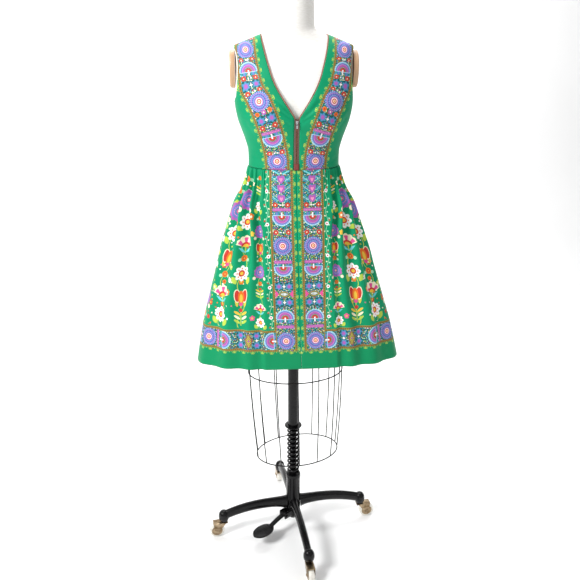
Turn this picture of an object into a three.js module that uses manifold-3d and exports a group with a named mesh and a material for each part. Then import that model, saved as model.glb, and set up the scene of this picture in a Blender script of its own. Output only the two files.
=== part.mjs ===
// A sleeveless V-neck dress with a front zip and a skirt pleated at the sides, worn by a limbless
// dress form on a wheeled cast stand. Millimetres, +Z up. The form faces -Y and +X is its left.
// The origin is on the floor, on the axis of the pole.
import * as THREE from 'three';
import { mergeVertices } from 'three/addons/utils/BufferGeometryUtils.js';
import Module from 'manifold-3d';

const wasm = await Module();
wasm.setup();

// Driving dimensions: heights above the floor.
const waistHeight = 1342;
const underarmHeight = 1521;
const bustHeight = 1500;
const shoulderTipHeight = 1681;
const shoulderNeckHeight = 1712;
const torsoBottomHeight = 937;
const zipTopHeight = 1488;
const zipBottomHeight = 1361;
const hemHeight = { front: 725, side: 708, back: 708 };

// Driving dimensions: cloth and its seams.
const seamGap = 0.3;
const clothThickness = 1.6;
const skirtDrop = 634;
const pipingWidth = 3.2;
const pipingThickness = 2;
const pipingLift = 0.8;
const shoulderPullBack = 1;
const zipEdge = 7.8;
const tapeEdge = 2.7;
const bustSpread = 86;
const bustRise = 20;

// Driving dimensions: form and stand.
const shellThickness = 7;
const poleRadius = 18.5;
const rodRadius = 12.5;
const rodBottom = 40;
const poleTop = 997;
const stopHeight = 421;
const collarRadius = 30;
const collarThickness = 12;
const springRadius = 18.5;
const springWire = 3.8;
const springTurns = 10;
const hubRadius = 26;
const hubTop = 233;
const hubBottom = 54;
const legCount = 4;
const frontLegTurn = 7.3;
const legReach = 257;
const socketHeight = 82;
const socketRadius = 19;
const wheelRadius = 27.5;
const wheelWidth = 20;
const casterTrail = 27;
const pedalTurn = 217.3;
const pedalReach = 142;

const radians = THREE.MathUtils.degToRad;
const lerp = THREE.MathUtils.lerp;

const form = new THREE.Group();

const finishes = {
  cloth: { color: 0x0a9a62, roughness: 0.5, metalness: 0 },
  piping: { color: 0x8a5a44, roughness: 0.6, metalness: 0 },
  tape: { color: 0x6e5348, roughness: 0.7, metalness: 0 },
  teeth: { color: 0x9a6a48, roughness: 0.35, metalness: 0.9 },
  patch: { color: 0xa8382c, roughness: 0.7, metalness: 0 },
  silver: { color: 0xc8cacc, roughness: 0.3, metalness: 1 },
  linen: { color: 0xf4f2ee, roughness: 0.85, metalness: 0 },
  board: { color: 0xb89a74, roughness: 0.7, metalness: 0 },
  iron: { color: 0x0c0c0d, roughness: 0.3, metalness: 0.2 },
  wheel: { color: 0xeeeae0, roughness: 0.4, metalness: 0 },
  brass: { color: 0xa8844c, roughness: 0.35, metalness: 1 },
};

function addMesh(name, geometry, finish) {
  const mesh = new THREE.Mesh(geometry, new THREE.MeshStandardMaterial(finishes[finish]));
  mesh.name = name;
  form.add(mesh);
  return mesh;
}

// Joining and cutting of closed meshes.
function toSolid(geometry) {
  const bare = geometry.clone();
  bare.deleteAttribute('normal');
  bare.deleteAttribute('uv');
  const merged = mergeVertices(bare, 1e-3);
  const vertProperties = Float32Array.from(merged.attributes.position.array);
  const triVerts = Uint32Array.from(merged.index.array);
  return new wasm.Manifold(new wasm.Mesh({ numProp: 3, vertProperties, triVerts }));
}

function toGeometry(solid) {
  const mesh = solid.getMesh();
  const geometry = new THREE.BufferGeometry();
  geometry.setAttribute('position', new THREE.BufferAttribute(mesh.vertProperties, 3));
  geometry.setIndex(new THREE.BufferAttribute(mesh.triVerts, 1));
  return geometry;
}

function join(geometries) {
  return toGeometry(geometries.map(toSolid).reduce((whole, solid) => whole.add(solid)));
}

function cut(geometry, tools) {
  return toGeometry(tools.map(toSolid).reduce((whole, tool) => whole.subtract(tool), toSolid(geometry)));
}

function place(geometry, x, y, z) {
  return geometry.translate(x, y, z);
}

// A value between the rows of a table, on a smooth curve that never overshoots them.
function between(table, key, position, column) {
  const last = table.length - 1;
  const rising = table[last][key] > table[0][key];
  const ordered = rising ? table : [...table].reverse();
  if (position <= ordered[0][key]) return ordered[0][column];
  if (position >= ordered[last][key]) return ordered[last][column];
  const i = ordered.findIndex((row) => row[key] > position) - 1;
  const slope = (k) => (ordered[k + 1][column] - ordered[k][column]) / (ordered[k + 1][key] - ordered[k][key]);
  const tangent = (k) => {
    if (k === 0) return slope(0);
    if (k === last) return slope(last - 1);
    const before = slope(k - 1);
    const after = slope(k);
    return before * after <= 0 ? 0 : (2 * before * after) / (before + after);
  };
  const span = ordered[i + 1][key] - ordered[i][key];
  const t = (position - ordered[i][key]) / span;
  const startWeight = 2 * t ** 3 - 3 * t ** 2 + 1;
  const startTangent = (t ** 3 - 2 * t ** 2 + t) * span * tangent(i);
  const endTangent = (t ** 3 - t ** 2) * span * tangent(i + 1);
  return startWeight * ordered[i][column] + (1 - startWeight) * ordered[i + 1][column] + startTangent + endTangent;
}

function rowAt(table, key, position) {
  const row = {};
  for (const column of Object.keys(table[0])) row[column] = between(table, key, position, column);
  return row;
}

// A level section is a rounded oval. Its angle is 0 at centre front, 90 at the left side
// and 180 at centre back, and square sets how full its corners are.
function ovalPoint(section, angle) {
  const across = Math.sin(radians(angle));
  const along = Math.cos(radians(angle));
  const depth = along >= 0 ? section.front : section.back;
  const power = section.square;
  const reach = (Math.abs(across) ** power + Math.abs(along) ** power) ** (-1 / power);
  return new THREE.Vector2(section.halfWidth * across * reach, -depth * along * reach);
}

function angleAtX(section, x) {
  const share = Math.min(1, x / section.halfWidth);
  return THREE.MathUtils.radToDeg(Math.atan2(share, (1 - share ** section.square) ** (1 / section.square)));
}

function angleAtDepth(section, y, depth) {
  const share = Math.min(1, y / depth);
  return THREE.MathUtils.radToDeg(Math.atan2((1 - share ** section.square) ** (1 / section.square), share));
}

// The body of the form. The bust is two soft rises in front.
const torsoTable = [
  { z: 937, halfWidth: 160, front: 96, back: 104, square: 2.3 },
  { z: 1000, halfWidth: 168, front: 99, back: 112, square: 2.3 },
  { z: 1087, halfWidth: 171, front: 100, back: 116, square: 2.3 },
  { z: 1187, halfWidth: 158, front: 96, back: 107, square: 2.25 },
  { z: 1262, halfWidth: 140, front: 92, back: 95, square: 2.2 },
  { z: 1342, halfWidth: 128, front: 89, back: 84, square: 2.15 },
  { z: 1388, halfWidth: 131, front: 91, back: 88, square: 2.2 },
  { z: 1423, halfWidth: 141, front: 95, back: 93, square: 2.2 },
  { z: 1453, halfWidth: 152, front: 99, back: 97, square: 2.25 },
  { z: 1483, halfWidth: 162, front: 102, back: 100, square: 2.3 },
  { z: 1521, halfWidth: 168.5, front: 102, back: 102, square: 2.4 },
  { z: 1568, halfWidth: 170.5, front: 95, back: 102, square: 2.5 },
  { z: 1618, halfWidth: 170.5, front: 82, back: 96, square: 2.6 },
  { z: 1653, halfWidth: 170.5, front: 69, back: 84, square: 2.5 },
  { z: 1671, halfWidth: 171, front: 61, back: 75, square: 2.3 },
  { z: 1681, halfWidth: 169, front: 56, back: 68, square: 2.1 },
  { z: 1689, halfWidth: 151, front: 53, back: 63, square: 2 },
  { z: 1697, halfWidth: 131, front: 51, back: 60, square: 2 },
  { z: 1705, halfWidth: 111, front: 50, back: 58, square: 2 },
  { z: 1712, halfWidth: 94, front: 50, back: 57, square: 2 },
  { z: 1721, halfWidth: 72, front: 51, back: 55, square: 2 },
  { z: 1731, halfWidth: 60, front: 53, back: 53, square: 2 },
  { z: 1753, halfWidth: 58, front: 56, back: 50, square: 2 },
  { z: 1826, halfWidth: 57.5, front: 62, back: 44, square: 2 },
];

function bustAt(x, z, innerSpread) {
  const aside = Math.abs(x) - bustSpread;
  const spread = aside < 0 ? innerSpread : 40;
  return bustRise * Math.exp(-(aside ** 2) / (2 * spread ** 2) - (z - bustHeight) ** 2 / (2 * 38 ** 2));
}

function bodyPoint(angle, z, innerSpread) {
  const flat = ovalPoint(rowAt(torsoTable, 'z', z), angle);
  const facing = Math.max(0, Math.cos(radians(angle))) ** 0.5;
  return new THREE.Vector3(flat.x, flat.y - bustAt(flat.x, z, innerSpread) * facing, z);
}

// The point at a distance outside a surface, square to it.
function offsetPoint(surface, angle, z, distance) {
  const step = 0.5;
  const around = surface(angle + step, z).sub(surface(angle - step, z));
  const upward = surface(angle, z + step).sub(surface(angle, z - step));
  const outward = around.cross(upward).normalize();
  return surface(angle, z).addScaledVector(outward, distance);
}

// How far the inside of the bodice lies off the form, from the waist up to the shoulder.
const easeTable = [
  { z: 1342, ease: 8 },
  { z: 1388, ease: 5 },
  { z: 1448, ease: 3 },
  { z: 1558, ease: 3.6 },
  { z: 1618, ease: 2.6 },
  { z: 1668, ease: 2 },
  { z: 1681, ease: 1.8 },
  { z: 1705, ease: 1.5 },
  { z: 1712, ease: 0.7 },
];
const clothSpread = 62;
const clothBody = (angle, z) => bodyPoint(angle, z, clothSpread);

function bodicePoint(angle, z, lift) {
  return offsetPoint(clothBody, angle, z, between(easeTable, 'z', z, 'ease') + lift);
}

// A wall of cloth over a grid of rows and columns. pointAt takes the row, the column and 0 for
// the inside or 1 for the outside.
function wall(rows, columns, pointAt) {
  const positions = [];
  const indices = [];
  const layer = rows * columns;
  for (let side = 0; side < 2; side += 1) {
    for (let row = 0; row < rows; row += 1) {
      for (let column = 0; column < columns; column += 1) {
        positions.push(...pointAt(row, column, side).toArray());
      }
    }
  }
  const quad = (a, b, c, d) => indices.push(a, b, c, a, c, d);
  const corner = (row, column, side) => side * layer + row * columns + column;
  for (let row = 0; row < rows - 1; row += 1) {
    for (let column = 0; column < columns - 1; column += 1) {
      const ring = [[row, column], [row, column + 1], [row + 1, column + 1], [row + 1, column]];
      quad(...ring.map(([r, c]) => corner(r, c, 1)));
      quad(...ring.reverse().map(([r, c]) => corner(r, c, 0)));
    }
  }
  for (let column = 0; column < columns - 1; column += 1) {
    quad(corner(0, column, 0), corner(0, column + 1, 0), corner(0, column + 1, 1), corner(0, column, 1));
    const top = rows - 1;
    quad(corner(top, column, 1), corner(top, column + 1, 1), corner(top, column + 1, 0), corner(top, column, 0));
  }
  for (let row = 0; row < rows - 1; row += 1) {
    quad(corner(row, 0, 1), corner(row + 1, 0, 1), corner(row + 1, 0, 0), corner(row, 0, 0));
    const end = columns - 1;
    quad(corner(row, end, 0), corner(row + 1, end, 0), corner(row + 1, end, 1), corner(row, end, 1));
  }
  return facingOut(positions, indices);
}

function facingOut(positions, indices) {
  const point = (i) => new THREE.Vector3().fromArray(positions, i * 3);
  let volume = 0;
  for (let i = 0; i < indices.length; i += 3) {
    volume += point(indices[i]).dot(point(indices[i + 1]).cross(point(indices[i + 2])));
  }
  if (volume < 0) indices.reverse();
  const geometry = new THREE.BufferGeometry();
  geometry.setAttribute('position', new THREE.Float32BufferAttribute(positions, 3));
  geometry.setIndex(indices);
  return geometry;
}

// Bodice panels. Each row runs from the inner edge, a distance from the centre line, to the
// outer edge, a distance in front of or behind the side line: 0 is the side or shoulder seam.
const waistSeam = waistHeight + seamGap;
const frontRows = [
  { innerX: zipEdge, innerZ: waistSeam, outerY: 0, outerZ: waistSeam },
  { innerX: zipEdge, innerZ: 1364, outerY: 0, outerZ: 1364 },
  { innerX: zipEdge, innerZ: 1390, outerY: 0, outerZ: 1390 },
  { innerX: zipEdge, innerZ: 1423, outerY: 0, outerZ: 1423 },
  { innerX: zipEdge, innerZ: 1454, outerY: 0, outerZ: 1456 },
  { innerX: zipEdge, innerZ: 1476, outerY: 0, outerZ: 1488 },
  { innerX: zipEdge + 0.4, innerZ: zipTopHeight, outerY: 0, outerZ: underarmHeight },
  { innerX: 20, innerZ: 1508, outerY: 20, outerZ: 1531 },
  { innerX: 37, innerZ: 1534, outerY: 33, outerZ: 1548 },
  { innerX: 54, innerZ: 1563, outerY: 39, outerZ: 1570 },
  { innerX: 68, innerZ: 1594, outerY: 41, outerZ: 1596 },
  { innerX: 78, innerZ: 1626, outerY: 39, outerZ: 1622 },
  { innerX: 86, innerZ: 1655, outerY: 33, outerZ: 1645 },
  { innerX: 91.5, innerZ: 1679, outerY: 25, outerZ: 1662 },
  { innerX: 94.5, innerZ: 1695, outerY: 15, outerZ: 1673 },
  { innerX: 95.2, innerZ: 1702, outerY: 9, outerZ: 1677.5 },
  { innerX: 95.6, innerZ: 1708, outerY: 4, outerZ: 1680 },
  { innerX: 96, innerZ: shoulderNeckHeight, outerY: 0, outerZ: shoulderTipHeight },
];
const backRows = [
  { innerX: 0, innerZ: waistSeam, outerY: 0, outerZ: waistSeam },
  { innerX: 0, innerZ: 1376, outerY: 0, outerZ: 1372 },
  { innerX: 0, innerZ: 1423, outerY: 0, outerZ: 1410 },
  { innerX: 0, innerZ: 1478, outerY: 0, outerZ: 1453 },
  { innerX: 0, innerZ: 1533, outerY: 0, outerZ: 1490 },
  { innerX: 0, innerZ: 1588, outerY: 0, outerZ: underarmHeight },
  { innerX: 0, innerZ: 1628, outerY: 22, outerZ: 1531 },
  { innerX: 0, innerZ: 1657, outerY: 35, outerZ: 1548 },
  { innerX: 26, innerZ: 1659, outerY: 41, outerZ: 1570 },
  { innerX: 48, innerZ: 1664, outerY: 43, outerZ: 1596 },
  { innerX: 66, innerZ: 1671, outerY: 41, outerZ: 1622 },
  { innerX: 80, innerZ: 1680, outerY: 35, outerZ: 1645 },
  { innerX: 89, innerZ: 1689, outerY: 26, outerZ: 1662 },
  { innerX: 94, innerZ: 1698, outerY: 16, outerZ: 1673 },
  { innerX: 95.2, innerZ: 1703, outerY: 10, outerZ: 1677.5 },
  { innerX: 95.6, innerZ: 1708.5, outerY: 4, outerZ: 1680 },
  { innerX: 96, innerZ: shoulderNeckHeight, outerY: 0, outerZ: shoulderTipHeight },
];

// Angles from the centre line, front or back, of a row's two edges. The seam keeps its gap.
function innerAngle(row, depthName) {
  const section = rowAt(torsoTable, 'z', row.innerZ);
  const seam = THREE.MathUtils.radToDeg(seamGap / 2 / section[depthName]);
  const centreSeam = THREE.MathUtils.radToDeg(seamGap / 2 / section.halfWidth);
  const angle = angleAtX(section, row.innerX);
  return Math.max(centreSeam, Math.min(90 - seam, angle));
}

function outerAngle(row, depthName) {
  const section = rowAt(torsoTable, 'z', row.outerZ);
  const depth = section[depthName];
  return angleAtDepth(section, Math.max(seamGap / 2, row.outerY), depth);
}

// side is 1 for the left and -1 for the right. The back turns the angle about the side line.
function panelAngle(angle, depthName, side) {
  return side * (depthName === 'front' ? angle : 180 - angle);
}

function bodicePanel(rows, depthName, side, columns) {
  return wall(rows.length, columns, (rowIndex, column, layer) => {
    const row = rows[rowIndex];
    const share = column / (columns - 1);
    const angle = lerp(innerAngle(row, depthName), outerAngle(row, depthName), share);
    const z = lerp(row.innerZ, row.outerZ, share);
    return bodicePoint(panelAngle(angle, depthName, side), z, layer * clothThickness);
  });
}

const bodiceColumns = 8;
for (const [sideName, side] of [['left', 1], ['right', -1]]) {
  addMesh(`bodice_front_${sideName}`, bodicePanel(frontRows, 'front', side, bodiceColumns), 'cloth');
  addMesh(`bodice_back_${sideName}`, bodicePanel(backRows, 'back', side, bodiceColumns), 'cloth');
}

// Piping along the neck edge: a cord of cloth beside the edge, kept just off it.
function neckEdge(rows, depthName, side) {
  const edgeRows = rows.filter((row) => row.innerX > zipEdge);
  return edgeRows.map((row) => {
    const end = row.innerZ === shoulderNeckHeight ? shoulderPullBack : 0;
    const angle = panelAngle(innerAngle(row, depthName) - end, depthName, side);
    return {
      middle: bodicePoint(angle, row.innerZ, clothThickness / 2),
      outward: bodicePoint(angle, row.innerZ, 1).sub(bodicePoint(angle, row.innerZ, 0)),
    };
  });
}

function pipingAlong(edge, aside) {
  const last = edge.length - 1;
  const rowFrame = (i) => {
    const before = edge[Math.max(0, i - 1)].middle;
    const after = edge[Math.min(last, i + 1)].middle;
    const along = after.clone().sub(before).normalize();
    return along.cross(edge[i].outward).normalize().multiplyScalar(aside);
  };
  return wall(edge.length, 2, (row, column, layer) => {
    const away = seamGap + column * pipingWidth;
    const lift = (layer - 0.5) * pipingThickness + pipingLift;
    const middle = edge[row].middle.clone();
    return middle.addScaledVector(rowFrame(row), away).addScaledVector(edge[row].outward, lift);
  });
}

addMesh('neck_piping_front_left', pipingAlong(neckEdge(frontRows, 'front', 1), -1), 'piping');
addMesh('neck_piping_front_right', pipingAlong(neckEdge(frontRows, 'front', -1), 1), 'piping');
const backEdgeLeft = neckEdge(backRows, 'back', 1);
const backEdgeRight = neckEdge(backRows, 'back', -1);
const backNeck = { angle: 180, z: 1657 };
const backMiddle = {
  middle: bodicePoint(backNeck.angle, backNeck.z, clothThickness / 2),
  outward: bodicePoint(backNeck.angle, backNeck.z, 1).sub(bodicePoint(backNeck.angle, backNeck.z, 0)),
};
const backEdge = [...backEdgeLeft.reverse(), backMiddle, ...backEdgeRight];
addMesh('neck_piping_back', pipingAlong(backEdge, -1), 'piping');

// The zip: two tapes, the closed chain, a patch over its lower end, a slider and its pull tab.
function zipStrip(startX, endX, bottom, top, rows, inside, thickness) {
  return wall(rows, 2, (row, column, layer) => {
    const z = lerp(bottom, top, row / (rows - 1));
    const x = column === 0 ? startX : endX;
    const section = rowAt(torsoTable, 'z', z);
    const angle = Math.sign(x) * angleAtX(section, Math.abs(x));
    return bodicePoint(angle, z, inside + layer * thickness);
  });
}

const tapeThickness = 1.2;
const tapeOutside = zipEdge - seamGap;
const zipRows = 6;
addMesh('zip_tape_left', zipStrip(tapeEdge, tapeOutside, waistSeam, zipTopHeight, zipRows, 0, tapeThickness), 'tape');
addMesh('zip_tape_right', zipStrip(-tapeOutside, -tapeEdge, waistSeam, zipTopHeight, zipRows, 0, tapeThickness), 'tape');
const chainEdge = tapeEdge - seamGap;
const sliderHeight = 10;
const chainTop = zipTopHeight - 4 - sliderHeight;
const chainStrip = zipStrip(-chainEdge, chainEdge, zipBottomHeight + seamGap, chainTop, zipRows, 0, 2);
addMesh('zip_chain', chainStrip, 'teeth');
const patchInside = tapeThickness + seamGap;
addMesh('zip_patch', zipStrip(-tapeOutside, tapeOutside, waistSeam, zipBottomHeight, 2, patchInside, 1), 'patch');

const sliderFace = bodicePoint(0, chainTop + sliderHeight + seamGap, tapeThickness + seamGap).y;
const sliderDepth = 2.4;
const sliderWidth = 8;
const sliderMiddle = chainTop + seamGap + sliderHeight / 2;
const sliderFront = sliderFace - sliderDepth;
const bridgeBar = 1;
const bridgeReach = 3.4;
const bridgeHeight = 6;
const bridgeLeg = (z) => place(new THREE.BoxGeometry(2, bridgeReach, bridgeBar), 0, sliderFront - bridgeReach / 2, z);
addMesh(
  'zip_slider',
  join([
    place(new THREE.BoxGeometry(sliderWidth, sliderDepth, sliderHeight), 0, sliderFace - sliderDepth / 2, sliderMiddle),
    bridgeLeg(sliderMiddle + bridgeHeight / 2),
    bridgeLeg(sliderMiddle - bridgeHeight / 2),
    place(
      new THREE.BoxGeometry(2, bridgeBar, bridgeHeight + bridgeBar),
      0,
      sliderFront - bridgeReach + bridgeBar / 2,
      sliderMiddle,
    ),
  ]),
  'silver',
);
const tabAxis = { y: sliderFront - 1.3, z: sliderMiddle + 1 };
const tabArm = 1.1;
const tabHalfWidth = 2.6;
const tabLength = 19;
const tabArmX = tabHalfWidth - tabArm / 2;
const tabArmLength = 7;
const tabPlate = tabLength - tabArmLength;
const tabBar = new THREE.CylinderGeometry(0.55, 0.55, 2 * tabHalfWidth, 8).rotateZ(Math.PI / 2);
const tabSide = (x) => place(new THREE.BoxGeometry(tabArm, tabArm, tabArmLength + 0.6), x, 0, 0.3 - tabArmLength / 2);
const tab = join([
  tabBar,
  tabSide(tabArmX),
  tabSide(-tabArmX),
  place(new THREE.BoxGeometry(2 * tabHalfWidth, tabArm, tabPlate), 0, 0, -tabArmLength - tabPlate / 2 + 0.5),
]);
addMesh('zip_pull_tab', place(tab, 0, tabAxis.y, tabAxis.z), 'silver');

// The skirt. Its section grows with the drop below the waist.
const skirtTable = [
  { drop: 0, halfWidth: 138.5, front: 97.5, back: 92.5, square: 2.15, fold: 0.25 },
  { drop: 15, halfWidth: 142, front: 99, back: 95, square: 2.15, fold: 0.36 },
  { drop: 36, halfWidth: 148, front: 101, back: 100, square: 2.15, fold: 0.5 },
  { drop: 62, halfWidth: 157, front: 104, back: 107, square: 2.2, fold: 0.65 },
  { drop: 110, halfWidth: 184, front: 110, back: 118, square: 2.2, fold: 0.88 },
  { drop: 193, halfWidth: 213, front: 118, back: 130, square: 2.25, fold: 1 },
  { drop: 257, halfWidth: 235, front: 123, back: 135, square: 2.3, fold: 1 },
  { drop: 329, halfWidth: 255, front: 129, back: 139, square: 2.3, fold: 0.9 },
  { drop: 418, halfWidth: 281, front: 136, back: 143, square: 2.35, fold: 0.74 },
  { drop: 520, halfWidth: 310, front: 143, back: 148, square: 2.4, fold: 0.55 },
  { drop: 634, halfWidth: 334, front: 150, back: 152, square: 2.4, fold: 0.4 },
];

// Lines that run down the skirt, in degrees from the centre line at the waist, in the middle
// and at the hem. depth is how far the line lies behind the section, or in front of it if negative.
const foldLines = [
  { name: 'centre', waist: 0, middle: 0, hem: 0, depth: 0 },
  { name: 'band', waist: 20, middle: 11, hem: 8, depth: 0 },
  { name: 'band edge', waist: 38, middle: 20, hem: 16, depth: 0 },
  { name: 'first ridge', waist: 44, middle: 24, hem: 19, depth: -2 },
  { name: 'first valley', waist: 50, middle: 28, hem: 22, depth: 11 },
  { name: 'second ridge', waist: 57, middle: 34, hem: 28, depth: -2 },
  { name: 'second valley', waist: 63, middle: 40, hem: 34, depth: 14 },
  { name: 'third ridge', waist: 70, middle: 50, hem: 43, depth: -3 },
  { name: 'third valley', waist: 77, middle: 60, hem: 53, depth: 18 },
  { name: 'side ridge', waist: 84, middle: 74, hem: 69, depth: -2 },
  { name: 'side seam', waist: 90, middle: 90, hem: 90, depth: 0 },
];

const middleDrop = 257;
function foldAngle(line, drop) {
  const table = [
    { drop: 0, angle: line.waist },
    { drop: middleDrop, angle: line.middle },
    { drop: skirtDrop, angle: line.hem },
  ];
  return between(table, 'drop', drop, 'angle');
}

function hemAt(angle) {
  const facing = Math.cos(radians(angle));
  const end = facing > 0 ? hemHeight.front : hemHeight.back;
  return lerp(hemHeight.side, end, Math.abs(facing) ** 1.5);
}

// position counts fold lines from the centre line, and stops between two of them at a fraction.
function skirtPoint(position, drop, depthName, side, lift) {
  const first = Math.min(foldLines.length - 2, Math.floor(position));
  const share = position - first;
  const section = rowAt(skirtTable, 'drop', drop);
  const soft = (1 - Math.cos(Math.PI * share)) / 2;
  const depth = lerp(foldLines[first].depth, foldLines[first + 1].depth, soft) * section.fold;
  const seam = THREE.MathUtils.radToDeg(seamGap / 2 / section.front);
  const plain = lerp(foldAngle(foldLines[first], drop), foldAngle(foldLines[first + 1], drop), share);
  const angle = panelAngle(Math.max(seam, Math.min(90 - seam, plain)), depthName, side);
  const step = 0.5;
  const around = ovalPoint(section, angle + step).sub(ovalPoint(section, angle - step)).normalize();
  const flat = ovalPoint(section, angle);
  const outward = new THREE.Vector2(around.y, -around.x);
  flat.addScaledVector(outward, lift - depth);
  const z = waistHeight - (drop / skirtDrop) * (waistHeight - hemAt(angle));
  return new THREE.Vector3(flat.x, flat.y, z);
}

const skirtColumns = [];
for (let line = 0; line < foldLines.length - 1; line += 1) {
  skirtColumns.push(line);
  if (line >= 3) skirtColumns.push(line + 0.5);
}
skirtColumns.push(foldLines.length - 1);

const skirtDrops = skirtTable.map((row) => row.drop);
for (const [sideName, side] of [['left', 1], ['right', -1]]) {
  const frontPanel = wall(skirtDrops.length, skirtColumns.length, (row, column, layer) =>
    skirtPoint(skirtColumns[column], skirtDrops[row], 'front', side, layer * clothThickness));
  addMesh(`skirt_front_${sideName}`, frontPanel, 'cloth');
  const backPanel = wall(skirtDrops.length, skirtColumns.length, (row, column, layer) =>
    skirtPoint(skirtColumns[column], skirtDrops[row], 'back', side, layer * clothThickness));
  addMesh(`skirt_back_${sideName}`, backPanel, 'cloth');
}

// The torso of the form: a shell, open at the bottom, where a board closes it.
function stack(levels, sides, pointAt) {
  const positions = [];
  const indices = [];
  levels.forEach((level) => {
    for (let i = 0; i < sides; i += 1) positions.push(...pointAt((360 * i) / sides, level).toArray());
  });
  const ring = (level, i) => level * sides + (i % sides);
  for (let level = 0; level < levels.length - 1; level += 1) {
    for (let i = 0; i < sides; i += 1) {
      indices.push(ring(level, i), ring(level, i + 1), ring(level + 1, i + 1));
      indices.push(ring(level, i), ring(level + 1, i + 1), ring(level + 1, i));
    }
  }
  const top = levels.length - 1;
  for (let i = 1; i < sides - 1; i += 1) {
    indices.push(ring(0, 0), ring(0, i + 1), ring(0, i));
    indices.push(ring(top, 0), ring(top, i), ring(top, i + 1));
  }
  return facingOut(positions, indices);
}

const torsoSpread = 40;
const torsoSides = 28;
const torsoOutside = stack(torsoTable.map((row) => row.z), torsoSides, (angle, z) => bodyPoint(angle, z, torsoSpread));
const boardTop = torsoBottomHeight + 16;
const hollowLevels = [torsoBottomHeight - 10, boardTop, 1000, 1090, 1190, 1270, 1342, 1398, 1478, 1568, 1638];
const hollowSides = 18;
const torsoHollow = stack(hollowLevels, hollowSides, (angle, level) => {
  const section = rowAt(torsoTable, 'z', level > boardTop ? level : torsoBottomHeight);
  section.halfWidth -= shellThickness;
  section.front -= shellThickness;
  section.back -= shellThickness;
  const flat = ovalPoint(section, angle);
  return new THREE.Vector3(flat.x, flat.y, level);
});
addMesh('form_torso', cut(torsoOutside, [torsoHollow]), 'linen');

// Arm plates: oval discs on the sides, where arms would start.
const plateThickness = 15;
const plate = { halfDepth: 33, halfHeight: 52, z: 1619, inside: 171.1 };
for (const [sideName, side] of [['left', 1], ['right', -1]]) {
  const disc = new THREE.CylinderGeometry(1, 0.9, plateThickness, 20);
  disc.rotateZ(Math.PI / 2).scale(1, plate.halfDepth, plate.halfHeight);
  if (side > 0) disc.rotateZ(Math.PI);
  place(disc, side * (plate.inside + plateThickness / 2), 0, plate.z);
  addMesh(`form_arm_plate_${sideName}`, disc, 'board');
}

// The bottom board, with the socket that stands on the top of the pole.
function ovalOutline(section, shrink, sides) {
  const inset = { ...section };
  inset.halfWidth -= shrink;
  inset.front -= shrink;
  inset.back -= shrink;
  const points = [];
  for (let i = 0; i < sides; i += 1) points.push(ovalPoint(inset, (360 * i) / sides));
  return new THREE.Shape(points);
}

const boardThickness = 12;
const boardBottom = torsoBottomHeight + 2;
const socketWall = 6;
const poleGap = 0.3;
const boardSection = rowAt(torsoTable, 'z', torsoBottomHeight);
const boardBlank = new THREE.ExtrudeGeometry(ovalOutline(boardSection, shellThickness + seamGap, hollowSides), {
  depth: boardThickness,
  bevelEnabled: false,
});
const socketOutside = poleRadius + poleGap + socketWall;
const socketTop = poleTop + poleGap + socketWall;
const upright = (radiusTop, radiusBottom, bottom, top, sides) => {
  const height = top - bottom;
  const cylinder = new THREE.CylinderGeometry(radiusTop, radiusBottom, height, sides).rotateX(Math.PI / 2);
  return place(cylinder, 0, 0, bottom + height / 2);
};
const socketBody = join([
  place(boardBlank, 0, 0, boardBottom),
  upright(socketOutside, socketOutside, boardBottom + 1, socketTop, 16),
]);
const poleHole = upright(poleRadius + poleGap, poleRadius + poleGap, boardBottom - 5, poleTop + poleGap, 24);
addMesh('form_board', cut(socketBody, [poleHole]), 'board');

// The wire cage under the torso: three hoops and the wires welded to them. It is bent a little:
// its lower hoops hang towards the form's left, and higher there.
const cageTable = [
  { z: 328, halfWidth: 143, depth: 98, aside: 14, tilt: 11 },
  { z: 649, halfWidth: 160, depth: 106, aside: 7, tilt: 4 },
  { z: 934.3, halfWidth: 156, depth: 96, aside: 0, tilt: 0 },
];
const cageWire = 2.1;
const cageWires = 14;
const wireSides = 4;
function cagePoint(row, turn) {
  const x = row.aside + row.halfWidth * Math.cos(turn);
  return new THREE.Vector3(x, row.depth * Math.sin(turn), row.z + row.tilt * Math.cos(turn));
}

function hoop(row) {
  const bigRadius = 1000;
  const ring = new THREE.TorusGeometry(bigRadius, cageWire, 4, 28);
  const position = ring.attributes.position;
  for (let i = 0; i < position.count; i += 1) {
    const turn = Math.atan2(position.getY(i), position.getX(i));
    const out = Math.hypot(position.getX(i), position.getY(i)) - bigRadius;
    const normal = new THREE.Vector2(Math.cos(turn) / row.halfWidth, Math.sin(turn) / row.depth).normalize();
    const middle = cagePoint(row, turn);
    position.setXYZ(i, middle.x + normal.x * out, middle.y + normal.y * out, middle.z + position.getZ(i));
  }
  return ring;
}

function disc(radius, sides) {
  return new THREE.Shape(new THREE.Path().absarc(0, 0, radius, 0, 2 * Math.PI).getSpacedPoints(sides).slice(0, sides));
}

function cageUpright(index) {
  const turn = (2 * Math.PI * (index + 0.5)) / cageWires;
  const points = cageTable.map((row) => cagePoint(row, turn));
  return new THREE.ExtrudeGeometry(disc(cageWire * 0.9, wireSides), {
    extrudePath: new THREE.CatmullRomCurve3(points),
    steps: 3,
    bevelEnabled: false,
  });
}

const cageParts = cageTable.map(hoop);
for (let i = 0; i < cageWires; i += 1) cageParts.push(cageUpright(i));
addMesh('form_cage', join(cageParts), 'iron');

// The pole: a thick tube above its stop collar, and a thinner rod that slides in the hub.
const stepHeight = stopHeight + collarThickness / 2;
const poleProfile = [
  [0, rodBottom],
  [rodRadius, rodBottom],
  [rodRadius, stepHeight],
  [poleRadius, stepHeight],
  [poleRadius, poleTop],
  [0, poleTop],
].map(([radius, height]) => new THREE.Vector2(radius, height));
const lathed = (profile, sides) => new THREE.LatheGeometry(profile, sides).rotateX(Math.PI / 2);
addMesh('pole', lathed(poleProfile, 24), 'iron');

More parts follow.
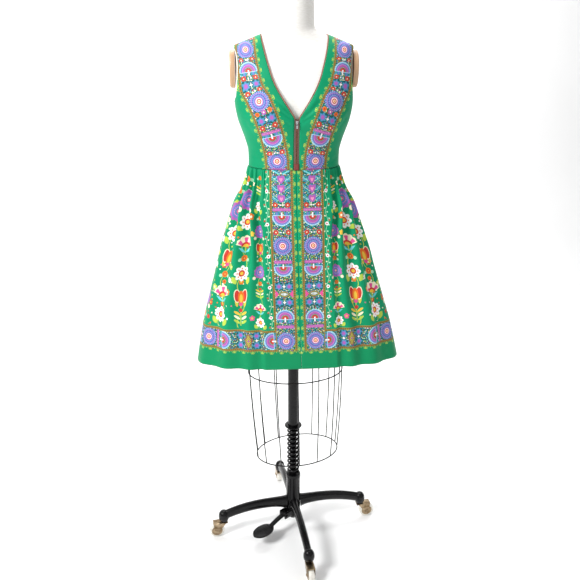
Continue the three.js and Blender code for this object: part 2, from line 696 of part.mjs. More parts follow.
// A lathed ring: its profile closes on itself.
function ringProfile(rows) {
  const points = rows.map(([radius, height]) => new THREE.Vector2(radius, height));
  return [...points, points[0].clone()];
}

const collarTop = stopHeight + collarThickness;
const collarProfile = ringProfile([
  [poleRadius + poleGap, stepHeight + poleGap],
  [poleRadius + poleGap, collarTop],
  [collarRadius - 3, collarTop],
  [collarRadius, collarTop - 3],
  [collarRadius - 8, stopHeight],
  [rodRadius + poleGap, stopHeight],
  [rodRadius + poleGap, stepHeight - poleGap],
  [poleRadius + poleGap, stepHeight - poleGap],
]);
addMesh('pole_collar', lathed(collarProfile.reverse(), 20), 'iron');

// The buffer spring stands on the hub, round the rod, under the collar.
class Helix extends THREE.Curve {
  getPoint(t, target = new THREE.Vector3()) {
    const turn = 2 * Math.PI * springTurns * t;
    const bottom = hubTop + springWire + seamGap;
    const top = stopHeight - springWire - seamGap;
    return target.set(springRadius * Math.cos(turn), springRadius * Math.sin(turn), lerp(bottom, top, t));
  }
}
const springGeometry = new THREE.ExtrudeGeometry(disc(springWire, 5), {
  extrudePath: new Helix(),
  steps: springTurns * 9,
  bevelEnabled: false,
});
addMesh('buffer_spring', springGeometry, 'iron');

// The hub, with two ears for the pedal.
const earThickness = 6;
const earGap = 0.4;
const pedalArmWidth = 20;
const pivotReach = 44;
const pivotHeight = 72;
const earHeight = 24;
const hubProfile = ringProfile([
  [rodRadius + poleGap, hubBottom],
  [hubRadius - 2, hubBottom],
  [hubRadius, hubBottom + 4],
  [hubRadius, hubTop - 5],
  [hubRadius - 3, hubTop],
  [rodRadius + poleGap, hubTop],
]);
const ear = (side) => {
  const length = pivotReach + 8 - rodRadius - 4;
  const y = side * (pedalArmWidth / 2 + earGap + earThickness / 2);
  return place(new THREE.BoxGeometry(length, earThickness, earHeight), pivotReach + 8 - length / 2, y, pivotHeight);
};
const hubTube = lathed(hubProfile, 20).rotateZ(radians(frontLegTurn - 90));
const hubParts = [hubTube, ear(1).rotateZ(radians(pedalTurn)), ear(-1).rotateZ(radians(pedalTurn))];
addMesh('base_hub', join(hubParts), 'iron');

// The pedal: an arm that ends round at its pivot, and a leaf-shaped plate.
const armRound = 9;
const plateHalfWidth = 28;
const plateStart = 97;
const plateEnd = 2 * pedalReach - plateStart;
const armEnd = new THREE.CylinderGeometry(armRound, armRound, pedalArmWidth, 14);
const armCurve = new THREE.QuadraticBezierCurve3(
  new THREE.Vector3(pivotReach, 0, pivotHeight),
  new THREE.Vector3(pivotReach + 26, 0, pivotHeight - 2),
  new THREE.Vector3(plateStart + 14, 0, 52),
);
const armShape = new THREE.Shape([
  new THREE.Vector2(-5, -pedalArmWidth / 2 + 1),
  new THREE.Vector2(5, -pedalArmWidth / 2 + 1),
  new THREE.Vector2(5, pedalArmWidth / 2 - 1),
  new THREE.Vector2(-5, pedalArmWidth / 2 - 1),
]);
const leaf = new THREE.Shape();
leaf.moveTo(plateStart, 0);
leaf.quadraticCurveTo(plateStart + 12, -plateHalfWidth, pedalReach, -plateHalfWidth);
leaf.quadraticCurveTo(plateEnd - 8, -plateHalfWidth, plateEnd, 0);
leaf.quadraticCurveTo(plateEnd - 8, plateHalfWidth, pedalReach, plateHalfWidth);
leaf.quadraticCurveTo(plateStart + 12, plateHalfWidth, plateStart, 0);
const leafPlate = new THREE.ExtrudeGeometry(leaf, { depth: 7, bevelEnabled: false, curveSegments: 4 });
const pedal = join([
  place(armEnd, pivotReach, 0, pivotHeight),
  new THREE.ExtrudeGeometry(armShape, { extrudePath: armCurve, steps: 5, bevelEnabled: false }),
  place(leafPlate, 0, 0, 47),
]).rotateZ(radians(pedalTurn));
addMesh('pedal', pedal, 'iron');

// Four arched legs, each cast in one with the socket of its caster.
const legRoot = hubRadius + seamGap;
const socketProfile = [
  [0, socketHeight - 22],
  [11, socketHeight - 22],
  [socketRadius - 1.5, socketHeight - 12],
  [socketRadius, socketHeight],
  [socketRadius - 2.5, socketHeight + 13],
  [10, socketHeight + 22],
  [0, socketHeight + 24],
].map(([radius, height]) => new THREE.Vector2(radius, height));
const legCurve = new THREE.CubicBezierCurve3(
  new THREE.Vector3(legRoot, 0, 109),
  new THREE.Vector3(110, 0, 120),
  new THREE.Vector3(185, 0, 111),
  new THREE.Vector3(legReach - 4, 0, 85),
);
const legHalfWidth = 13;
const legHalfHeight = 20;
const legSides = 8;
const legOutline = disc(1, legSides).getPoints(1).slice(0, legSides);
const legShape = new THREE.Shape(legOutline.map((p) => new THREE.Vector2(p.x * legHalfHeight, p.y * legHalfWidth)));

// The caster: a brass fork with its axle, and a wheel with flats, one of them on the floor.
const socketBottom = socketHeight - 22;
const forkTop = socketBottom - seamGap;
const forkPlate = 3.2;
const forkArm = 3;
const forkGap = 0.5;
const forkHalf = wheelWidth / 2 + forkGap + forkArm / 2;
const axleRadius = 3;
const wheelSides = 16;
const wheelCorner = wheelRadius / Math.cos(Math.PI / wheelSides);
const wheelAxis = { x: legReach + casterTrail, z: wheelRadius };
const wheelProfile = ringProfile([
  [axleRadius + 0.4, -wheelWidth / 2],
  [wheelCorner - 4, -wheelWidth / 2],
  [wheelCorner, -wheelWidth / 2 + 4],
  [wheelCorner, wheelWidth / 2 - 4],
  [wheelCorner - 4, wheelWidth / 2],
  [axleRadius + 0.4, wheelWidth / 2],
]);

function casterFork() {
  const crownLength = casterTrail + 26;
  const crownStart = legReach - 13;
  const crown = new THREE.BoxGeometry(crownLength, 2 * forkHalf + forkArm, forkPlate);
  const armShape = new THREE.Shape([
    new THREE.Vector2(crownStart + 6, forkTop - 1),
    new THREE.Vector2(wheelAxis.x - 7, wheelAxis.z - 6),
    new THREE.Vector2(wheelAxis.x + 7, wheelAxis.z - 6),
    new THREE.Vector2(crownStart + crownLength - 1, forkTop - 1),
  ]);
  const sideArm = (side) => {
    const arm = new THREE.ExtrudeGeometry(armShape, { depth: forkArm, bevelEnabled: false });
    return place(arm.rotateX(Math.PI / 2), 0, side * forkHalf + forkArm / 2, 0);
  };
  const axle = new THREE.CylinderGeometry(axleRadius, axleRadius, 2 * forkHalf, 10);
  return join([
    place(crown, crownStart + crownLength / 2, 0, forkTop - forkPlate / 2),
    sideArm(1),
    sideArm(-1),
    place(axle, wheelAxis.x, 0, wheelAxis.z),
  ]);
}

const legNames = ['front', 'left', 'back', 'right'];
for (let i = 0; i < legCount; i += 1) {
  const turn = radians(frontLegTurn - 90 + (360 * i) / legCount);
  const socket = place(lathed(socketProfile, 14), legReach, 0, 0);
  const arm = new THREE.ExtrudeGeometry(legShape, { extrudePath: legCurve, steps: 7, bevelEnabled: false });
  const around = upright(hubRadius + seamGap, hubRadius + seamGap, hubBottom, hubTop, 20);
  const leg = toGeometry(toSolid(socket).add(toSolid(arm)).subtract(toSolid(around)));
  addMesh(`leg_${legNames[i]}`, leg.rotateZ(turn), 'iron');
  addMesh(`caster_fork_${legNames[i]}`, casterFork().rotateZ(turn), 'brass');
  const wheel = new THREE.LatheGeometry(wheelProfile, wheelSides).rotateY(Math.PI / wheelSides);
  place(wheel, wheelAxis.x, 0, wheelAxis.z);
  addMesh(`wheel_${legNames[i]}`, wheel.rotateZ(turn), 'wheel');
}

export default form;
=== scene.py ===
import math
from functools import lru_cache

import bmesh
import bpy
from mathutils import Matrix, Vector


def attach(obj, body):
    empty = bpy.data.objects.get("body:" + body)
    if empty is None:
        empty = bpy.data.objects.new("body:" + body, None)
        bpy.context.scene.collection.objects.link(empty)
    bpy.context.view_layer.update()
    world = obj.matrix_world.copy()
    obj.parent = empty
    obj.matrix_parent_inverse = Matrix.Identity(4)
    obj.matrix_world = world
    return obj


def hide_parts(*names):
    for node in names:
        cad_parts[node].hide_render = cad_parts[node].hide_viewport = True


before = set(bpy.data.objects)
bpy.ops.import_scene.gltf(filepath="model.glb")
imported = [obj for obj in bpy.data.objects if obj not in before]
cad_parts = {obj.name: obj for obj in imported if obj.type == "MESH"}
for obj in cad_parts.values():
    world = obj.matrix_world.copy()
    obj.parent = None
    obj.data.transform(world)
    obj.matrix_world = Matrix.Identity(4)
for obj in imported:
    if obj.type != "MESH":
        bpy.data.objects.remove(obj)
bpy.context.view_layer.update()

# The cast hub is a turned iron tube on the axis of the stand, with two ears for the pedal.
# It and all of the base are painted gloss black, which pools and thins a little over the casting.
MM = 0.001
HUB_RADIUS, HUB_BOTTOM, HUB_TOP = 26, 54, 233
ROD_RADIUS, POLE_RADIUS = 12.5, 18.5
PEDAL_TURN = math.radians(217.3)
PIVOT_REACH, PIVOT_HEIGHT = 44, 72


def dye(red, green, blue):
    """A colour as it looks, from 0 to 255, made linear for the shader."""
    def linear(value):
        share = value / 255
        return share / 12.92 if share <= 0.04045 else ((share + 0.055) / 1.055) ** 2.4
    return (linear(red), linear(green), linear(blue), 1)


def noise(tree, place, scale, detail):
    """A cloudy noise over the place that a socket gives."""
    node = tree.nodes.new("ShaderNodeTexNoise")
    node.inputs["Scale"].default_value = scale
    node.inputs["Detail"].default_value = detail
    tree.links.new(place, node.inputs["Vector"])
    return node.outputs["Fac"]


def spread_over(tree, value, low, high):
    """A value between two ends, as the noise goes from 0 to 1."""
    node = tree.nodes.new("ShaderNodeMapRange")
    node.inputs["To Min"].default_value = low
    node.inputs["To Max"].default_value = high
    tree.links.new(value, node.inputs["Value"])
    return node.outputs["Result"]


def bump(tree, height, strength, distance):
    """Fine relief from a height."""
    node = tree.nodes.new("ShaderNodeBump")
    node.inputs["Strength"].default_value = strength
    node.inputs["Distance"].default_value = distance
    tree.links.new(height, node.inputs["Height"])
    return node


def finish(name, light, dark, rough, rough_spread=0.06, metal=0.0, grain=40, stretch=(1, 1, 1), relief=0.0002,
           fine=400, coat=0.0, sheen=0.0, shine=0.5):
    """A finish whose colour, gloss and relief vary with the grain of the stuff."""
    material = bpy.data.materials.new(name)
    material.use_nodes = True
    tree = material.node_tree
    shader = tree.nodes["Principled BSDF"]
    shader.inputs["Metallic"].default_value = metal
    shader.inputs["Coat Weight"].default_value = coat
    shader.inputs["Specular IOR Level"].default_value = shine
    shader.inputs["Coat Roughness"].default_value = 0.12
    shader.inputs["Sheen Weight"].default_value = sheen
    place = tree.nodes.new("ShaderNodeTexCoord")
    mapping = tree.nodes.new("ShaderNodeMapping")
    mapping.inputs["Scale"].default_value = stretch
    tree.links.new(place.outputs["Object"], mapping.inputs["Vector"])
    cloud = noise(tree, mapping.outputs["Vector"], grain, 6)
    ramp = tree.nodes.new("ShaderNodeValToRGB")
    ramp.color_ramp.elements[0].position = 0.35
    ramp.color_ramp.elements[0].color = dark
    ramp.color_ramp.elements[1].position = 0.65
    ramp.color_ramp.elements[1].color = light
    tree.links.new(cloud, ramp.inputs["Fac"])
    tree.links.new(ramp.outputs["Color"], shader.inputs["Base Color"])
    tree.links.new(spread_over(tree, cloud, rough + rough_spread, rough - rough_spread), shader.inputs["Roughness"])
    pores = bump(tree, noise(tree, mapping.outputs["Vector"], fine, 3), 0.5, relief)
    tree.links.new(pores.outputs["Normal"], shader.inputs["Normal"])
    return material


ON_SIDE = Matrix.Rotation(math.pi / 2, 4, "X")


def about_z(angle):
    return Matrix.Rotation(angle, 4, "Z")


def seat(x, y, z):
    """The place of a form, in millimetres."""
    return Matrix.Translation(Vector((x, y, z)) * MM)


def placed(form, matrix):
    """The form, moved to where the matrix says."""
    bmesh.ops.transform(form, matrix=matrix, verts=form.verts)
    return form


def turned(profile, steps=64):
    """A turned form: rows of radius and height, spun round the upright axis."""
    bm = bmesh.new()
    verts = [bm.verts.new((radius * MM, 0, height * MM)) for radius, height in profile]
    edges = [bm.edges.new(pair) for pair in zip(verts, verts[1:])]
    bmesh.ops.spin(bm, geom=verts + edges, cent=(0, 0, 0), axis=(0, 0, 1), angle=2 * math.pi, steps=steps,
                   use_merge=True)
    bmesh.ops.remove_doubles(bm, verts=bm.verts, dist=1e-6)
    bmesh.ops.recalc_face_normals(bm, faces=bm.faces)
    return bm


def block(size, centre, soften=0.6, segments=2):
    """A block with softened edges, from its size and middle."""
    bm = bmesh.new()
    place = Matrix.Translation(Vector(centre) * MM) @ Matrix.Diagonal((*(s * MM for s in size), 1))
    bmesh.ops.create_cube(bm, size=1, matrix=place)
    if soften:
        bmesh.ops.bevel(bm, geom=bm.edges[:], offset=soften * MM, offset_type="OFFSET", segments=segments,
                        profile=0.5, affect="EDGES", material=-1, clamp_overlap=True)
    return bm


def plate(outline, bottom, top, soften=0.8):
    """A flat plate cut to an outline, with softened edges."""
    bm = bmesh.new()
    face = bm.faces.new([bm.verts.new((x * MM, y * MM, bottom * MM)) for x, y in outline])
    raised = bmesh.ops.extrude_face_region(bm, geom=[face])["geom"]
    lifted = [part for part in raised if isinstance(part, bmesh.types.BMVert)]
    bmesh.ops.translate(bm, verts=lifted, vec=(0, 0, (top - bottom) * MM))
    bmesh.ops.recalc_face_normals(bm, faces=bm.faces)
    if soften:
        rims = [edge for edge in bm.edges if abs(edge.verts[0].co.z - edge.verts[1].co.z) < 1e-9]
        bmesh.ops.bevel(bm, geom=rims, offset=soften * MM, offset_type="OFFSET", segments=2, profile=0.5,
                        affect="EDGES", material=-1, clamp_overlap=True)
    return bm


def rod(path, sizes, sides=12, closed=False):
    """A bar along a path of points. sizes gives its two half widths at each point."""
    bm = bmesh.new()
    points = [Vector(point) * MM for point in path]
    count = len(points)
    side = None
    loops = []
    for i, point in enumerate(points):
        before = points[i - 1] if closed or i else point
        after = points[(i + 1) % count] if closed or i < count - 1 else point
        along = (after - before).normalized()
        if side is None:
            side = along.cross(Vector((0, 0, 1)))
            side = side.normalized() if side.length > 0.1 else Vector((1, 0, 0))
        side = (side - along * side.dot(along)).normalized()
        up = along.cross(side)
        half, tall = sizes[i] if isinstance(sizes, list) else sizes
        turn = Matrix((side, up, along)).transposed().to_4x4()
        size = Matrix.Diagonal((half * MM, tall * MM, 1, 1))
        ring = bmesh.ops.create_circle(bm, cap_ends=False, segments=sides, radius=1,
                                       matrix=Matrix.Translation(point) @ turn @ size)["verts"]
        loops.append(ring)
    pairs = list(zip(loops, loops[1:])) + ([(loops[-1], loops[0])] if closed else [])
    for low, high in pairs:
        for i in range(sides):
            j = (i + 1) % sides
            bm.faces.new((low[i], low[j], high[j], high[i]))
    if not closed:
        bmesh.ops.holes_fill(bm, edges=[edge for edge in bm.edges if edge.is_boundary], sides=0)
    bmesh.ops.recalc_face_normals(bm, faces=bm.faces)
    return bm


def piece(name, forms, material, body, nodes, turn=None, smooth=35):
    """One piece of the object from its forms, riding on a body and standing for its nodes."""
    whole = bmesh.new()
    for form in forms:
        if turn is not None:
            placed(form, turn)
        scrap = bpy.data.meshes.new("scrap")
        form.to_mesh(scrap)
        form.free()
        whole.from_mesh(scrap)
        bpy.data.meshes.remove(scrap)
    mesh = bpy.data.meshes.new(name)
    whole.to_mesh(mesh)
    whole.free()
    mesh.materials.append(material)
    mesh.shade_smooth()
    mesh.set_sharp_from_angle(angle=math.radians(smooth))
    made = bpy.data.objects.new(name, mesh)
    bpy.context.scene.collection.objects.link(made)
    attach(made, body)
    if nodes:
        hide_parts(*nodes)
    return made


black_enamel = finish("black enamel on cast iron", dye(9, 9, 11), dye(3, 3, 4), 0.26, 0.05, grain=22,
                      relief=0.0004, fine=160, coat=0.12, shine=0.22)
hub_profile = [(ROD_RADIUS + 0.3, HUB_BOTTOM), (HUB_RADIUS - 3, HUB_BOTTOM), (HUB_RADIUS, HUB_BOTTOM + 4),
               (HUB_RADIUS, 96), (HUB_RADIUS - 1.2, 99), (HUB_RADIUS - 1.2, 214), (HUB_RADIUS, 217),
               (HUB_RADIUS, HUB_TOP - 5), (HUB_RADIUS - 1, HUB_TOP - 2), (HUB_RADIUS - 4, HUB_TOP),
               (ROD_RADIUS + 0.3, HUB_TOP), (ROD_RADIUS + 0.3, HUB_BOTTOM)]
hub_forms = [turned(hub_profile)]
for side in (1, -1):
    ear = block((39, 6, 24), (33, side * 13.4, PIVOT_HEIGHT), soften=2.2, segments=3)
    hub_forms.append(placed(ear, about_z(PEDAL_TURN)))
    bolt = turned([(0, 0), (5, 0), (5.4, 1), (5, 3), (3.4, 4), (0, 4.2)], steps=24)
    lay = Matrix.Rotation(-side * math.pi / 2, 4, "X")
    hub_forms.append(placed(bolt, about_z(PEDAL_TURN) @ seat(PIVOT_REACH, side * 16.2, PIVOT_HEIGHT) @ lay))
piece("hub_casting", hub_forms, black_enamel, "base", ["base_hub"])

# The four arched legs, each cast in one with the round socket that holds its caster. The
# arch is an oval bar, thick at the hub and thinner at the socket.
LEG_NAMES = ["front", "left", "back", "right"]
LEG_REACH, SOCKET_HEIGHT, SOCKET_RADIUS = 257, 82, 19
LEG_TURNS = [math.radians(7.3 - 90 + 90 * i) for i in range(4)]


def bezier(points, count):
    """Points along a curve that its end points and handles give."""
    out = []
    for i in range(count):
        t = i / (count - 1)
        layer = [Vector(point) for point in points]
        while len(layer) > 1:
            layer = [a.lerp(b, t) for a, b in zip(layer, layer[1:])]
        out.append(layer[0])
    return out


leg_path = bezier([(HUB_RADIUS - 1, 0, 109), (110, 0, 120), (185, 0, 111), (LEG_REACH - 4, 0, 85)], 28)
leg_sizes = [(13 + 5 * math.exp(-i / 2) - 0.04 * i, 20 + 7 * math.exp(-i / 2) - 0.1 * i) for i in range(28)]
socket_profile = [(radius, SOCKET_HEIGHT + rise) for radius, rise in (
    (0, -22), (10, -22), (12, -21), (17, -13), (18.7, -6), (SOCKET_RADIUS, 0), (18.6, 6), (17, 12), (13.6, 18), (9, 22),
    (4, 23.8), (0, 24))]
for name, turn in zip(LEG_NAMES, LEG_TURNS):
    socket = placed(turned(socket_profile, steps=40), seat(LEG_REACH, 0, 0))
    piece(f"leg_casting_{name}", [rod(leg_path, leg_sizes, sides=24), socket], black_enamel, "base",
          [f"leg_{name}"], turn=about_z(turn))

# The casters: a pressed brass fork that swivels under each socket, and a white nylon wheel
# with a brass cover on both faces. The covers are dull and a little scratched.
WHEEL_RADIUS, WHEEL_HALF, TRAIL = 27.5, 10, 27
FORK_TOP, FORK_HALF = 59.7, 12
brass = finish("dull caster brass", dye(178, 158, 130), dye(112, 92, 66), 0.3, 0.1, metal=1.0, grain=60,
               relief=0.0001, fine=900)
nylon = finish("white wheel nylon", dye(240, 238, 230), dye(214, 210, 200), 0.38, grain=90, relief=0.0001, fine=600)
wheel_profile = [(4, -WHEEL_HALF), (20, -WHEEL_HALF), (21, -9), (24, -9), (26.2, -8.4), (27.2, -6.5), (27.5, -4),
                 (27.5, 4), (27.2, 6.5), (26.2, 8.4), (24, 9), (21, 9), (20, WHEEL_HALF), (4, WHEEL_HALF),
                 (4, -WHEEL_HALF)]
cover_profile = [(0, 0), (9, 0), (19, 0.2), (19.6, -0.4), (19.6, -1), (0, -1)]
WHEEL_REACH = LEG_REACH + TRAIL
crown_start, crown_end = LEG_REACH - 13, WHEEL_REACH + 13
arm_outline = [(crown_start + 6, FORK_TOP - 1.5), (WHEEL_REACH - 8, WHEEL_RADIUS - 3),
               (WHEEL_REACH - 5, WHEEL_RADIUS - 6.5), (WHEEL_REACH, WHEEL_RADIUS - 8),
               (WHEEL_REACH + 5, WHEEL_RADIUS - 6.5), (WHEEL_REACH + 8, WHEEL_RADIUS - 3),
               (crown_end - 1, FORK_TOP - 1.5)]
for name, turn in zip(LEG_NAMES, LEG_TURNS):
    wheel_seat = seat(WHEEL_REACH, 0, WHEEL_RADIUS) @ ON_SIDE
    tyre = placed(turned(wheel_profile, steps=72), wheel_seat)
    piece(f"caster_wheel_{name}", [tyre], nylon, f"wheel_{name}", [f"wheel_{name}"],
          turn=about_z(turn))
    covers, arms = [], []
    for side in (1, -1):
        flip = Matrix.Rotation(0 if side > 0 else math.pi, 4, "X")
        face = seat(0, 0, side * (WHEEL_HALF + 0.3))
        covers.append(placed(turned(cover_profile, steps=48), wheel_seat @ face @ flip))
        arms.append(placed(plate(arm_outline, -1.5, 1.5, soften=0.7), seat(0, side * FORK_HALF, 0) @ ON_SIDE))
        head = turned([(0, 0), (5, 0), (5, 1), (3.6, 2.2), (0, 2.6)], steps=24)
        lay = Matrix.Rotation(-side * math.pi / 2, 4, "X")
        arms.append(placed(head, seat(WHEEL_REACH, side * 13.4, WHEEL_RADIUS) @ lay))
    piece(f"wheel_covers_{name}", covers, brass, f"wheel_{name}", [], turn=about_z(turn))
    crown = block((crown_end - crown_start, 2 * FORK_HALF + 3, 3.2), ((crown_start + crown_end) / 2, 0, FORK_TOP - 1.6),
                  soften=1.2)
    axle = rod([(WHEEL_REACH, -13, WHEEL_RADIUS), (WHEEL_REACH, 13, WHEEL_RADIUS)], (3, 3), sides=16)
    stem = placed(turned([(0, 57), (9, 57), (10, 58), (10, 59.8), (0, 59.8)], steps=32), seat(LEG_REACH, 0, 0))
    piece(f"caster_fork_pressing_{name}", [crown, axle, stem, *arms], brass, f"swivel_{name}",
          [f"caster_fork_{name}"], turn=about_z(turn))

# The pedal is a cast arm and a leaf-shaped tread with raised ribs, on a bolt between the ears.
# Shoes have worn the enamel of the ribs a little duller.
PLATE_START, PEDAL_REACH, PLATE_HALF = 97, 142, 28
worn_enamel = finish("black enamel worn by shoes", dye(22, 22, 24), dye(8, 8, 9), 0.34, 0.1, grain=120,
                     relief=0.0003, fine=300, shine=0.25)
plate_end = 2 * PEDAL_REACH - PLATE_START
leaf = []
for start, handle, end in (((PLATE_START, 0), (PLATE_START + 12, -PLATE_HALF), (PEDAL_REACH, -PLATE_HALF)),
                           ((PEDAL_REACH, -PLATE_HALF), (plate_end - 8, -PLATE_HALF), (plate_end, 0)),
                           ((plate_end, 0), (plate_end - 8, PLATE_HALF), (PEDAL_REACH, PLATE_HALF)),
                           ((PEDAL_REACH, PLATE_HALF), (PLATE_START + 12, PLATE_HALF), (PLATE_START, 0))):
    corners = bezier([(*start, 0), (*handle, 0), (*end, 0)], 10)[:-1]
    leaf.extend((corner.x, corner.y) for corner in corners)
arm_path = bezier([(PIVOT_REACH, 0, PIVOT_HEIGHT), (PIVOT_REACH + 26, 0, PIVOT_HEIGHT - 2), (PLATE_START + 14, 0, 52)],
                  14)
knuckle = turned([(0, -10), (8, -10), (9, -9), (9, 9), (8, 10), (0, 10)], steps=32)
placed(knuckle, seat(PIVOT_REACH, 0, PIVOT_HEIGHT) @ ON_SIDE)
pedal_forms = [plate(leaf, 47, 54, soften=1.6), rod(arm_path, (9.4, 5.4), sides=16), knuckle]
for i in range(7):
    reach = PLATE_START + 18 + 9 * i
    half = PLATE_HALF * (1 - abs((reach - PEDAL_REACH) / 46) ** 2.2) - 4
    pedal_forms.append(block((3, 2 * half, 2.4), (reach, 0, 54), soften=0.8))
piece("pedal_tread", pedal_forms, worn_enamel, "pedal", ["pedal"], turn=about_z(PEDAL_TURN))

# The buffer spring stands on the hub round the rod, and the collar rests on it. The pole above
# is a thick tube, and the rod below slides in the hub. All are black enamel like the base.
STOP_HEIGHT, COLLAR_RADIUS, POLE_TOP = 421, 30, 997
SPRING_RADIUS, SPRING_WIRE, SPRING_TURNS = 18.5, 3.8, 10
coil = bmesh.new()
spring_bottom = HUB_TOP + SPRING_WIRE + 0.3
spring_rise = STOP_HEIGHT - SPRING_WIRE - 0.3 - spring_bottom
lean = math.atan2(spring_rise / SPRING_TURNS, 2 * math.pi * SPRING_RADIUS)
ring_place = seat(SPRING_RADIUS, 0, spring_bottom) @ Matrix.Rotation(lean, 4, "X") @ ON_SIDE
ring = bmesh.ops.create_circle(coil, cap_ends=False, segments=12, radius=SPRING_WIRE * MM, matrix=ring_place)
ring_edges = list({edge for vert in ring["verts"] for edge in vert.link_edges})
steps = 30 * SPRING_TURNS
bmesh.ops.spin(coil, geom=ring["verts"] + ring_edges, cent=(0, 0, 0), axis=(0, 0, 1), steps=steps,
               angle=2 * math.pi * SPRING_TURNS, dvec=(0, 0, spring_rise * MM / steps))
bmesh.ops.holes_fill(coil, edges=[edge for edge in coil.edges if edge.is_boundary], sides=0)
bmesh.ops.recalc_face_normals(coil, faces=coil.faces)
piece("buffer_coil", [coil], black_enamel, "base", ["buffer_spring"])
pole_profile = [(0, 40), (ROD_RADIUS - 1, 40), (ROD_RADIUS, 41), (ROD_RADIUS, STOP_HEIGHT + 6),
                (POLE_RADIUS, STOP_HEIGHT + 6), (POLE_RADIUS, POLE_TOP - 1), (POLE_RADIUS - 1, POLE_TOP), (0, POLE_TOP)]
piece("pole_tube", [turned(pole_profile)], black_enamel, "column", ["pole"])
collar_profile = [(radius, STOP_HEIGHT + rise) for radius, rise in (
    (ROD_RADIUS + 0.3, 0), (COLLAR_RADIUS - 10, 0), (COLLAR_RADIUS - 7.6, 1), (COLLAR_RADIUS - 1, 7),
    (COLLAR_RADIUS, 8.6), (COLLAR_RADIUS - 1, 11), (COLLAR_RADIUS - 4, 12), (POLE_RADIUS + 0.3, 12),
    (POLE_RADIUS + 0.3, 6.4), (ROD_RADIUS + 0.3, 5.6), (ROD_RADIUS + 0.3, 0))]
piece("stop_collar", [turned(collar_profile)], black_enamel, "column", ["pole_collar"])

# The wire cage hangs under the torso and holds skirts off the pole: three welded hoops and
# fourteen upright wires, dipped in black. Its lower hoops are bent aside a little.
CAGE = [(328, 143, 98, 14, 11), (649, 160, 106, 7, 4), (934.3, 156, 96, 0, 0)]
WIRE = 2.1
cage_forms = []


def cage_point(row, turn):
    height, half_width, depth, aside, tilt = row
    return Vector((aside + half_width * math.cos(turn), depth * math.sin(turn), height + tilt * math.cos(turn)))


for row in CAGE:
    loop = [cage_point(row, math.tau * i / 96) for i in range(96)]
    cage_forms.append(rod(loop, (WIRE, WIRE), sides=8, closed=True))
for i in range(14):
    turn = math.tau * (i + 0.5) / 14
    ends = [cage_point(row, turn) for row in CAGE]
    bow = ends[1] * 2 - (ends[0] + ends[2]) / 2
    cage_forms.append(rod(bezier([ends[0], bow, ends[2]], 12), (WIRE * 0.9, WIRE * 0.9), sides=8))
piece("cage_wires", cage_forms, black_enamel, "form", ["form_cage"])

# The torso of the form is a padded shell under a tight off-white linen cover. Its seams, down the middle,
# over each side of the chest and round the neck, are not drawn.
TORSO = [(937, 160, 96, 104, 2.3), (1000, 168, 99, 112, 2.3), (1087, 171, 100, 116, 2.3),
         (1187, 158, 96, 107, 2.25), (1262, 140, 92, 95, 2.2), (1342, 128, 89, 84, 2.15), (1388, 131, 91, 88, 2.2),
         (1423, 141, 95, 93, 2.2), (1453, 152, 99, 97, 2.25), (1483, 162, 102, 100, 2.3),
         (1521, 168.5, 102, 102, 2.4), (1568, 170.5, 95, 102, 2.5), (1618, 170.5, 82, 96, 2.6),
         (1653, 170.5, 69, 84, 2.5), (1671, 171, 61, 75, 2.3), (1681, 169, 56, 68, 2.1), (1689, 151, 53, 63, 2),
         (1697, 131, 51, 60, 2), (1705, 111, 50, 58, 2), (1712, 94, 50, 57, 2), (1721, 72, 51, 55, 2),
         (1731, 60, 53, 53, 2), (1753, 58, 56, 50, 2), (1826, 57.5, 62, 44, 2)]
BUST_HEIGHT, BUST_SPREAD, BUST_RISE = 1500, 86, 20
BUST_HALF_WIDTH, BUST_HALF_HEIGHT = 40, 38


def between(table, position, column):
    """A value between the rows of a table, on a smooth curve that never overshoots them."""
    last = len(table) - 1
    if position <= table[0][0]:
        return table[0][column]
    if position >= table[last][0]:
        return table[last][column]
    i = next(k for k, row in enumerate(table) if row[0] > position) - 1

    def slope(k):
        return (table[k + 1][column] - table[k][column]) / (table[k + 1][0] - table[k][0])

    def tangent(k):
        if k == 0 or k == last:
            return slope(0 if k == 0 else last - 1)
        before, after = slope(k - 1), slope(k)
        return 0 if before * after <= 0 else 2 * before * after / (before + after)

    span = table[i + 1][0] - table[i][0]
    t = (position - table[i][0]) / span
    start = 2 * t ** 3 - 3 * t ** 2 + 1
    bend = (t ** 3 - 2 * t ** 2 + t) * tangent(i) + (t ** 3 - t ** 2) * tangent(i + 1)
    return start * table[i][column] + (1 - start) * table[i + 1][column] + span * bend


@lru_cache(maxsize=None)
def torso_section(height):
    return tuple(between(TORSO, height, column) for column in (1, 2, 3, 4))


def oval(section, angle):
    """A level section is a rounded oval: 0 at centre front, 90 at the left side, 180 at the back."""
    half_width, front, back, square = section
    across, along = math.sin(math.radians(angle)), math.cos(math.radians(angle))
    reach = (abs(across) ** square + abs(along) ** square) ** (-1 / square)
    return half_width * across * reach, -(front if along >= 0 else back) * along * reach


def form_point(angle, height, inner_spread):
    """A point of the form's skin. inner_spread is how far each bust reaches towards the middle."""
    x, y = oval(torso_section(round(height, 2)), angle)
    aside = abs(x) - BUST_SPREAD
    spread = inner_spread if aside < 0 else BUST_HALF_WIDTH
    fall = aside ** 2 / (2 * spread ** 2) + (height - BUST_HEIGHT) ** 2 / (2 * BUST_HALF_HEIGHT ** 2)
    bust = BUST_RISE * math.exp(-fall)
    return Vector((x, y - bust * max(0, math.cos(math.radians(angle))) ** 0.5, height))


